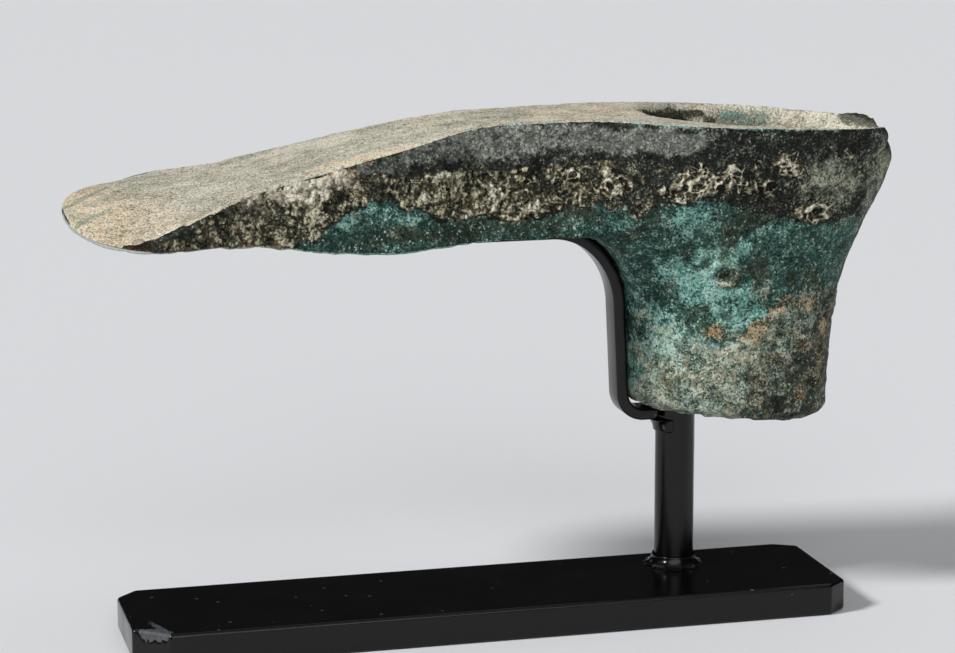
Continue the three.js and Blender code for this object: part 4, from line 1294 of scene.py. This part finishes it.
    # The socket's wall, dark brown deep down as painted shade, and the dark spot at the back of its lip
    spotty = f.between(f.sum((middle, 0.5), (other, 0.5)), 0.4, 0.6)
    spots = f.mix(spotty, crust, tones("glow", tone, 0.3, 1))
    pocket = f.mix(f.partly(laid("deep", 1.9, 0.4, 0.75), 0.85), sandy, spots)
    pocket = f.mix(laid("mouth", 0.9, 0.2), pocket, tones("brown", tone, 0.3, 1))
    base = f.mix(laid("inside", 0.3), base, pocket)
    base = f.mix(f.partly(laid("dark", 1.2, 0.3), 0.85), base, tones("shade", tone, 0.3, 1))

    # Dull sand, a soft shine on the painted grey sheen, and a fine grain all over
    rough = f.blend(laid("sand", 0.5), f.between(fine, 0.1, 0.8, 0.4, 0.8), 0.93)
    shine = f.blend(laid("grey", 0.8, 0.4), 0.16, 0.5)
    crumbly = f.partly(f.attribute("sand"), crumbs)
    small = f.sum((fine, 0.5), (grain, 0.12), (middle, 0.6), (crumbly, 0.7))
    normal = f.bump(small, 0.34 * MM, 0.9)
    return f.set(Base_Color=base, Roughness=rough, Normal=normal, Specular_IOR_Level=shine)


def crust_finish(colours):
    """Crust: dark in hollows, light on crests, brown or limy by an attribute, and painted light."""
    f = Finish("Brown and lime crust")
    slow = f.spread(f.noise(4 * MM, 3, 0.6))
    fine = f.spread(f.noise(0.5 * MM, 3, 0.7))
    grain, other = f.grains(0.3 * MM)
    # The painted light lifts the crest, so that part of the crust is coloured lighter
    height = f.sum((f.attribute("lift"), 1.1), (f.attribute("lit"), 0.14))
    crest = f.sum((height, 1), (fine, 0.35), (grain, 0.2), (slow, 0.3), offset=-0.34)

    def tones(name, low, high):
        """The crust's dark, middle and light colours along its height."""
        return f.tones(colours, name, crest, low, high)

    limy = f.between(f.sum((f.attribute("limy"), 1), (other, 0.4), offset=-0.2), 0.3, 0.7)
    base = f.mix(limy, tones("brown", 0.1, 0.8), tones("cream", 0.15, 0.9))
    uneven = f.between(f.sum((slow, 0.5), (other, 0.5)), 0.1, 0.6)
    dusty = f.partly(f.attribute("dusty"), uneven)
    base = f.mix(f.partly(dusty, 0.85), base, tones("sand", -0.2, 0.8))
    rusty = f.partly(f.between(slow, 0.6, 0.95), f.between(other, 0.3, 0.8))
    base = f.mix(f.partly(rusty, 0.25), base, colours.tan)
    base = f.mix(f.partly(f.between(other, 0.1, 0.05), 0.6), base, colours.brown_dark)
    normal = f.bump(f.sum((fine, 0.8), (grain, 0.15)), 0.28 * MM, 0.8)
    return f.set(Base_Color=base, Roughness=0.85, Normal=normal, Specular_IOR_Level=0.25)


def paint_finish(mount):
    """Thick black paint: a little uneven, with fine dust and a bare scrape where worn."""
    f = Finish("Black mount paint")
    slow = f.noise(9 * MM, 3, 0.5)
    fine = f.noise(0.8 * MM, 2, 0.5)
    specks = f.scatter(5.5 * MM).outputs["Distance"]
    dust = f.partly(f.between(specks, 0.075, 0.05), 0.5)
    worn = f.sum((f.attribute("worn"), 1), (fine, 0.8), offset=-0.4)
    worn = f.between(worn, 0.45, 0.6)
    bare = f.mix(f.noise(0.5 * MM, 3, 0.6, (0.4, 1, 1)), mount.paint, mount.scrape)
    base = f.mix(worn, f.mix(dust, mount.paint, mount.scrape), bare)
    rough = f.blend(worn, f.between(slow, 0.3, 0.7, 0.17, 0.26), 0.6)
    normal = f.bump(slow, 0.1 * MM, 0.22, f.bump(fine, 0.03 * MM, 0.35))
    return f.set(Base_Color=base, Roughness=rough, Normal=normal, Specular_IOR_Level=mount.gloss)


# Operators, one for each piece or group of like pieces


class ADZE_OT_head(bpy.types.Operator):
    """Bronze adze in one casting, with its socket, pits and crusts"""

    bl_idname = "adze.head"
    bl_label = "Bronze adze"

    def execute(self, context):
        scene = context.scene
        shape = AdzeShape(scene.adze_sizes)
        row = shape.rows(**SECTIONS)
        k = np.linspace(0, 1, SECTION_POINTS)[None, :]
        near = skin_points(shape, row, k, -1)
        far = skin_points(shape, row, k, 1)[:, -2:0:-1]
        piece = tube_piece("bronze_adze", np.concatenate([near, far], axis=1))
        facing_out(piece)
        bore = tube_piece("bore_cutter", bore_points(shape, BORE_RINGS, BORE_POINTS))
        facing_out(bore)
        wall = BVHTree.FromObject(bore, context.evaluated_depsgraph_get())
        cut = piece.modifiers.new("Socket", "BOOLEAN")
        cut.operation = "DIFFERENCE"
        cut.solver = "EXACT"
        cut.object = bore
        settle(piece)
        bpy.data.objects.remove(bore)
        mesh = piece.data
        points, normals = mesh_points(mesh), mesh_normals(mesh)
        from_wall = np.array([wall.find_nearest(point)[3] for point in points.tolist()])
        layers = patina(shape, points, normals, (from_wall < ON_THE_WALL).astype(float))
        height = relief(points, layers)
        layers["lift"] = np.clip(0.5 + height, 0, 1)
        points = points + normals * (height * shape.relief * MM)[:, None]
        mesh.vertices.foreach_set("co", (points + adze_origin).astype(np.float32).ravel())
        for name, strength in layers.items():
            if name not in CRUST_LAYERS:
                store(mesh, name, strength)
        mesh.shade_smooth()
        mesh.update()
        finish_piece(piece, bronze_finish(scene.patina_colours), "adze", "bronze", "adze_head")
        return {"FINISHED"}


class ADZE_OT_plate(bpy.types.Operator):
    """Flat steel bar with its four corners cut off, under thick paint"""

    bl_idname = "adze.plate"
    bl_label = "Base plate"

    def execute(self, context):
        mount = context.scene.mount_finish
        round_off = mount.plate_corner
        low, high = np.array(plate_low), np.array(plate_high)
        turn = np.linspace(0, math.pi / 2, 7)
        inset = round_off * (1 - np.sin(turn))
        rise = round_off * (1 - np.cos(turn))
        middle = np.linspace(round_off, high[2] - low[2] - round_off, 9)[1:-1]
        insets = np.concatenate([[3 * round_off, 2 * round_off], inset, 0 * middle])
        heights = np.concatenate([[0, 0], rise, middle])
        insets = np.concatenate([insets, inset[::-1], [2 * round_off, 3 * round_off]])
        heights = np.concatenate([heights, (high[2] - low[2]) - rise[::-1], [high[2] - low[2]] * 2])
        rings = np.stack([plate_ring(low, high, at) for at in insets])
        rings = np.dstack([rings, np.broadcast_to((low[2] + heights)[:, None], rings.shape[:2])])
        flat = rings.reshape(-1, 3)
        side = ease(2 * round_off, 0, np.repeat(insets, rings.shape[1]))
        inward = plate_middle_line(flat) - flat
        inward[:, 2] = 0
        inward /= np.linalg.norm(inward, axis=1)[:, None] + 1e-9
        wave = 0.5 + 0.5 * fractal(flat / MM, 7, 3, 61)
        chip = np.array([low[0], low[1], high[2]]) + CHIP_PLACE
        from_chip = np.linalg.norm((flat - chip) / MM * CHIP_STRETCH, axis=1)
        chipped = ease(3.4, 1.6, from_chip + 0.5 * noise(flat / MM, 1, 62))
        depth = side * wave * mount.paint_thickness + chipped * CHIP_DEPTH
        piece = tube_piece("plate", (flat + inward * depth[:, None]).reshape(rings.shape))
        paint_piece(piece, mount, "base_plate", chipped)
        return {"FINISHED"}


def plate_ring(low, high, inset):
    """Points round the plate in plan: a rectangle with its corners cut off, moved inwards by
    an inset, each of its 8 corners eased by a small curve."""
    x0, y0, x1, y1 = low[0], low[1], high[0], high[1]
    back_left, front_left, back_right, front_right = np.array(plate_clips) * MM
    corners = np.array([
        [x0, y0 + front_left[1]], [x0 + front_left[0], y0],
        [x1 - front_right[0], y0], [x1, y0 + front_right[1]],
        [x1, y1 - back_right[1]], [x1 - back_right[0], y1],
        [x0 + back_left[0], y1], [x0, y1 - back_left[1]],
    ])
    ahead = np.roll(corners, -1, axis=0) - corners
    ahead /= np.linalg.norm(ahead, axis=1)[:, None]
    behind = np.roll(ahead, 1, axis=0)
    both = ahead + behind
    inward = np.stack([-both[:, 1], both[:, 0]], axis=1)
    inward /= (np.linalg.norm(inward, axis=1) ** 2 / 2)[:, None]
    corners = corners + inward * inset
    reach = 0.5 * MM
    before, after = corners - behind * reach, corners + ahead * reach
    t = np.linspace(0, 1, 6)[None, :, None]
    curve = (1 - t) ** 2 * before[:, None] + 2 * t * (1 - t) * corners[:, None] + t**2 * after[:, None]
    following = np.roll(before, -1, axis=0)
    s = np.linspace(0, 1, 42)[None, 1:-1, None]
    edge = after[:, None] * (1 - s) + following[:, None] * s
    return np.concatenate([curve, edge], axis=1).reshape(-1, 2)


def plate_middle_line(points):
    """Nearest point of the plate's middle line, at each point's height."""
    half = (plate_high.x - plate_low.x) / 2 - (plate_high.y - plate_low.y) / 2
    centre = (plate_high.x + plate_low.x) / 2
    line = points.copy()
    line[:, 0] = np.clip(points[:, 0], centre - half, centre + half)
    line[:, 1] = (plate_high.y + plate_low.y) / 2
    return line


class ADZE_OT_post(bpy.types.Operator):
    """Round steel bar that stands up into the socket"""

    bl_idname = "adze.post"
    bl_label = "Post"

    def execute(self, context):
        mount = context.scene.mount_finish
        turn = np.linspace(0, math.pi / 2, 9)
        low, high, end = post_low.z, post_high.z, mount.post_end
        radii = np.concatenate([np.full(80, post_radius), post_radius - end * (1 - np.cos(turn))])
        heights = np.concatenate([np.linspace(low, high - end, 80), high - end * (1 - np.sin(turn))])
        radii = np.append(radii, post_radius - 1.6 * end)
        heights = np.append(heights, high)
        rings = turned(radii, heights, 96, mount.paint_thickness / 2, 71)
        paint_piece(tube_piece("round_bar", rings), mount, "post")
        return {"FINISHED"}


def turned(radii, heights, columns, wave, seed):
    """Rings about the post's axis, made uneven by noise of a given depth inwards."""
    turn = np.linspace(0, 2 * math.pi, columns, endpoint=False)[None, :]
    radii, heights = radii[:, None], heights[:, None]
    rings = np.stack([radii * np.cos(turn), radii * np.sin(turn), heights + 0 * turn], axis=-1)
    depth = wave * (0.5 + 0.5 * fractal(rings.reshape(-1, 3) / MM, 5, 3, seed)).reshape(rings.shape[:2])
    share = 1 - depth / np.maximum(radii, 1e-6)
    rings[..., 0] = post_x + rings[..., 0] * share
    rings[..., 1] = post_y + rings[..., 1] * share
    return rings


class ADZE_OT_welds(bpy.types.Operator):
    """Weld bead round the foot of the post, and the weld under the strip's end"""

    bl_idname = "adze.welds"
    bl_label = "Welds"

    def execute(self, context):
        mount = context.scene.mount_finish
        paint_piece(foot_bead(mount), mount, "foot_weld")
        paint_piece(strip_bead(mount), mount, "strip_weld")
        return {"FINISHED"}


def foot_bead(mount):
    """Rippled bead all round the post's foot, hollow towards the outside: over its bend b
    it reaches out by spread * (1 - sin b)^0.85 and up by height * (1 - cos b)."""
    gap = mount.seat_gap
    base = plate_high.z + gap
    bore = post_radius + gap
    turn = np.linspace(0, 2 * math.pi, 160, endpoint=False)[:, None]
    ripple = 1 + 0.1 * np.sin(11 * turn + 0.6) + 0.06 * np.sin(5 * turn)
    bend = np.linspace(0, math.pi / 2, 14)[None, :]
    reach = bore + gap / 3 + mount.weld_spread * ripple * (1 - np.sin(bend)) ** 0.85
    rise = mount.weld_height * (1 - np.cos(bend)) * (0.92 + 0.08 * ripple)
    outer = np.stack([reach * np.cos(turn), reach * np.sin(turn), base + rise], axis=-1)
    top = at_radius(outer[:, -1:], bore)
    foot = top.copy()
    foot[..., 2] = base
    section = np.concatenate([foot, outer, top], axis=1) + [post_x, post_y, 0]
    rows, columns = section.shape[:2]
    return new_piece("foot_bead", section, grid_faces(rows + 1, columns) % (rows * columns))


def strip_bead(mount):
    """Rippled weld under the strip's end, on the post's front: over its bend b it reaches
    out by spread * (1 - cos b)^0.8 and down by its height * (1 - sin b)."""
    gap = mount.seat_gap
    bore = post_radius + gap
    low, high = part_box("strip_weld")
    half_turn = STRIP_WELD_HALF_TURN
    turn = np.linspace(-half_turn, half_turn, 50)[:, None]
    spread = mount.strip_weld_spread * np.cos(turn * math.pi / 2 / half_turn * 0.96)
    bend = np.linspace(0, math.pi / 2, 14)[None, :]
    reach = bore + gap / 2 + spread * (1 - np.cos(bend)) ** 0.8
    ripple = 1 + 0.12 * noise(np.dstack([reach, reach * turn, 0 * reach + 1 * MM]) / MM, 1.4, 81)
    reach = bore + (reach - bore) * ripple
    drop = (high.z - low.z) * (1 - np.sin(bend)) + 0 * turn
    outer = np.stack([-reach * np.cos(turn), reach * np.sin(turn), high.z - drop], axis=-1)
    back = at_radius(outer[:, [0, -1]], bore)
    section = np.concatenate([back[:, 1:], back[:, :1], outer], axis=1) + [post_x, post_y, 0]
    return tube_piece("strip_bead", section)


def at_radius(points, radius):
    """The points moved straight in or out to a radius about the upright axis."""
    moved = points.copy()
    moved[..., :2] *= radius / np.linalg.norm(moved[..., :2], axis=-1, keepdims=True)
    return moved


class ADZE_OT_strip(bpy.types.Operator):
    """Thin steel strip bent to the adze, from under the blade to the post"""

    bl_idname = "adze.strip"
    bl_label = "Support strip"

    def execute(self, context):
        scene = context.scene
        mount = scene.mount_finish
        shape = AdzeShape(scene.adze_sizes)
        inner = strip_face(shape, mount, 0)
        outer = strip_face(shape, mount, mount.strip_thickness)
        corner = mount.strip_corner
        turn = np.linspace(0, math.pi / 2, 5)
        eased = corner * (1 - np.sin(turn))
        wide = mount.strip_width / 2
        across, deep = [], []
        for sign_across, sign_deep in ((1, 1), (-1, 1), (-1, -1), (1, -1)):
            arc = turn if sign_across * sign_deep > 0 else turn[::-1]
            across.append(sign_across * (wide - corner * (1 - np.cos(arc))))
            deep.append(sign_deep * (mount.strip_thickness / 2 - corner * (1 - np.sin(arc))))
        across = np.concatenate(across)[None, :, None]
        deep = np.concatenate(deep)[None, :, None]
        ends = np.concatenate([eased, np.zeros(len(inner) - 10), eased[::-1]])[:, None, None]
        scale_wide = 1 - ends / wide
        scale_deep = 1 - 2 * ends / mount.strip_thickness
        middle = ((inner + outer) / 2)[:, None]
        through = ((outer - inner) / mount.strip_thickness)[:, None]
        line = middle + through * deep * scale_deep
        sideways = across * scale_wide + 0 * line[..., :1]
        rings = np.concatenate([line[..., :1], sideways, line[..., 1:]], axis=-1)
        flat = rings.reshape(-1, 3)
        centre = np.repeat(rings.mean(axis=1), rings.shape[1], axis=0)
        inward = centre - flat
        inward /= np.linalg.norm(inward, axis=1)[:, None]
        wave = mount.paint_thickness * (0.5 + 0.5 * fractal(flat / MM, 4, 3, 91))
        flat = flat + inward * wave[:, None] + adze_origin
        paint_piece(tube_piece("bent_strip", flat.reshape(rings.shape)), mount, "support_strip")
        return {"FINISHED"}


def strip_face(shape, mount, depth):
    """One face of the strip in the adze's frame, as points (x, height): under the blade,
    round the fillet's quarter ellipse, down the collar's front and round under its foot to
    the post. depth is 0 for the face on the adze and the strip's thickness for the other."""
    gap = mount.seat_gap + depth
    start = shape.fillet_start - mount.strip_under_blade
    x = np.linspace(start, shape.fillet_start, 34, endpoint=False)
    under = np.stack([x, shape.underside(x) - gap], axis=-1)
    turn = np.linspace(0, math.pi / 2, 60)
    out = -np.stack([np.sin(turn) / shape.fillet_length, np.cos(turn) / shape.fillet_height], axis=-1)
    out /= np.linalg.norm(out, axis=1)[:, None]
    fillet = np.stack([
        shape.fillet_start + shape.fillet_length * np.sin(turn),
        shape.underside_height - shape.fillet_height * (1 - np.cos(turn)),
    ], axis=-1) + out * gap
    run_top = float(shape.foot(-COLLAR_BEHIND_POST)) - mount.seat_gap
    inner_radius = mount.strip_bend - mount.strip_thickness / 2
    bend_height = run_top + inner_radius
    centre_x = float(shape.front(bend_height)) - mount.seat_gap + inner_radius
    radius = inner_radius + depth
    turn = np.linspace(0, math.pi / 2, 22)
    bend = np.stack([centre_x - radius * np.cos(turn), bend_height - radius * np.sin(turn)], axis=-1)
    s = np.linspace(0, 1, 24)[1:-1, None]
    front = fillet[-1] * (1 - s) + bend[0] * s
    end = np.array([-COLLAR_BEHIND_POST - post_radius - mount.seat_gap, run_top - depth])
    s = np.linspace(0, 1, 12)[1:, None]
    run = bend[-1] * (1 - s) + end * s
    return np.concatenate([under, fillet, front, bend, run])


class ADZE_OT_crust(bpy.types.Operator):
    """Lumpy brown crust and lacy lime on both flanks of the adze"""

    bl_idname = "adze.crust"
    bl_label = "Crust"

    def execute(self, context):
        scene = context.scene
        shape = AdzeShape(scene.adze_sizes)
        body = bpy.data.objects["bronze_adze"]
        tree = BVHTree.FromObject(body, context.evaluated_depsgraph_get())
        finish = crust_finish(scene.patina_colours)
        lengthwise = np.arange(*CRUST_ALONG, CRUST_SPACING)
        upward = np.arange(*CRUST_HEIGHTS, CRUST_SPACING)
        x, z = np.meshgrid(lengthwise, upward, indexing="ij")
        for name, side in (("near", -1), ("far", 1)):
            start = np.stack([x, side * RAYS_FROM + 0 * x, z], axis=-1) + adze_origin
            hits = [tree.ray_cast(point, (0, -side, 0))[0] for point in start.reshape(-1, 3)]
            missed = np.array([hit is None for hit in hits])
            place = np.array([(0, 0, 0) if hit is None else hit for hit in hits])
            local = place - adze_origin
            facing = np.tile(np.array([0.0, side, 0]), (len(local), 1))
            layers = patina(shape, local, facing, np.zeros(len(local)))
            lift, limy = crust_height(local / MM, layers)
            below_top = (shape.top(local[:, 0]) - local[:, 2]) / MM
            lift[missed | (below_top < TOP_MARGIN)] = -1
            slope = np.abs(np.gradient(place[:, 1].reshape(x.shape), CRUST_SPACING)).max(axis=0)
            lift = np.where(slope > STEEPEST, -1, lift.reshape(x.shape))
            surface = place.reshape(*x.shape, 3)
            step = np.array([0, side, 0])
            tints = dict(limy=limy, dusty=layers["dusty"], lit=layers["lit"])
            piece = sheet("crust_" + name, surface, lift * MM, step, CRUST_DEPTH, tints)
            facing_out(piece)
            finish_piece(piece, finish, "adze", "bronze")
        return {"FINISHED"}


class ADZE_OT_stage(bpy.types.Operator):
    """Pale floor, soft lamps, even light and the camera"""

    bl_idname = "adze.stage"
    bl_label = "Floor, light and camera"

    def execute(self, context):
        scene = context.scene
        stage = scene.stage_settings
        corners = stage.floor_reach * np.array([[-1, -1, 0], [1, -1, 0], [1, 1, 0], [-1, 1, 0]])
        floor = new_piece("floor", corners, np.array([[0, 1, 2, 3]]))
        finish = Finish("Pale floor")
        floor.data.materials.append(finish.set(Base_Color=tuple(stage.floor), Roughness=0.75))
        for name, (place, softness) in LAMPS.items():
            lamp = bpy.data.lights.new(name, "SUN")
            lamp.angle = math.radians(softness)
            lamp.energy = getattr(stage, name)
            holder = bpy.data.objects.new(name, lamp)
            scene.collection.objects.link(holder)
            holder.matrix_world = looking(np.array(place), -np.array(place))
        world = bpy.data.worlds.new("Even light")
        world.use_nodes = True
        background = world.node_tree.nodes["Background"]
        background.inputs["Color"].default_value = (1, 1, 1, 1)
        background.inputs["Strength"].default_value = stage.world
        scene.world = world
        scene.view_settings.view_transform = "Standard"
        lens = bpy.data.cameras.new("camera")
        lens.lens = stage.lens
        lens.sensor_width = 36
        lens.clip_start = 0.01
        camera = bpy.data.objects.new("camera", lens)
        scene.collection.objects.link(camera)
        yaw, pitch, roll = (math.radians(turn) for turn in CAMERA_TURNS)
        level = math.cos(pitch)
        ahead = np.array([level * math.sin(yaw), level * math.cos(yaw), -math.sin(pitch)])
        camera.matrix_world = looking(CAMERA_PLACE, ahead, roll)
        scene.camera = camera
        return {"FINISHED"}


def looking(place, ahead, roll=0.0):
    """Matrix of a camera or lamp at a place, looking ahead with its top up, then rolled."""
    ahead = ahead / np.linalg.norm(ahead)
    right = np.cross(ahead, [0, 0, 1])
    right = right / np.linalg.norm(right)
    up = np.cross(right, ahead)
    across = right * math.cos(roll) + up * math.sin(roll)
    upward = up * math.cos(roll) - right * math.sin(roll)
    matrix = np.eye(4)
    matrix[:3, 0], matrix[:3, 1], matrix[:3, 2], matrix[:3, 3] = across, upward, -ahead, place
    return Matrix(matrix.tolist())


class ADZE_PT_sidebar(bpy.types.Panel):
    """Lists the operators and the values that they use"""

    bl_idname = "ADZE_PT_sidebar"
    bl_label = "Socketed adze"
    bl_space_type = "VIEW_3D"
    bl_region_type = "UI"
    bl_category = "Adze"

    def draw(self, context):
        for operator in OPERATORS:
            self.layout.operator(operator.bl_idname)
        for name, group in GROUPS.items():
            box = self.layout.box()
            box.label(text=group.__doc__)
            for value in group.__annotations__:
                box.prop(getattr(context.scene, name), value)


GROUPS = {
    "adze_sizes": AdzeSizes,
    "patina_colours": PatinaColours,
    "mount_finish": MountFinish,
    "stage_settings": StageSettings,
}
OPERATORS = (
    ADZE_OT_stage, ADZE_OT_plate, ADZE_OT_post, ADZE_OT_welds, ADZE_OT_strip, ADZE_OT_head,
    ADZE_OT_crust,
)


def register():
    """Adds the operators, the panel and the groups of values to Blender."""
    for cls in (*GROUPS.values(), *OPERATORS, ADZE_PT_sidebar):
        bpy.utils.register_class(cls)
    for name, group in GROUPS.items():
        setattr(bpy.types.Scene, name, bpy.props.PointerProperty(type=group))


def unregister():
    """Takes them all away again."""
    for name in GROUPS:
        delattr(bpy.types.Scene, name)
    for cls in reversed((*GROUPS.values(), *OPERATORS, ADZE_PT_sidebar)):
        bpy.utils.unregister_class(cls)


def main():
    """Builds everything in order."""
    register()
    bpy.ops.adze.stage()
    bpy.ops.adze.plate()
    bpy.ops.adze.post()
    bpy.ops.adze.welds()
    bpy.ops.adze.strip()
    bpy.ops.adze.head()
    bpy.ops.adze.crust()


if __name__ == "__main__":
    main()
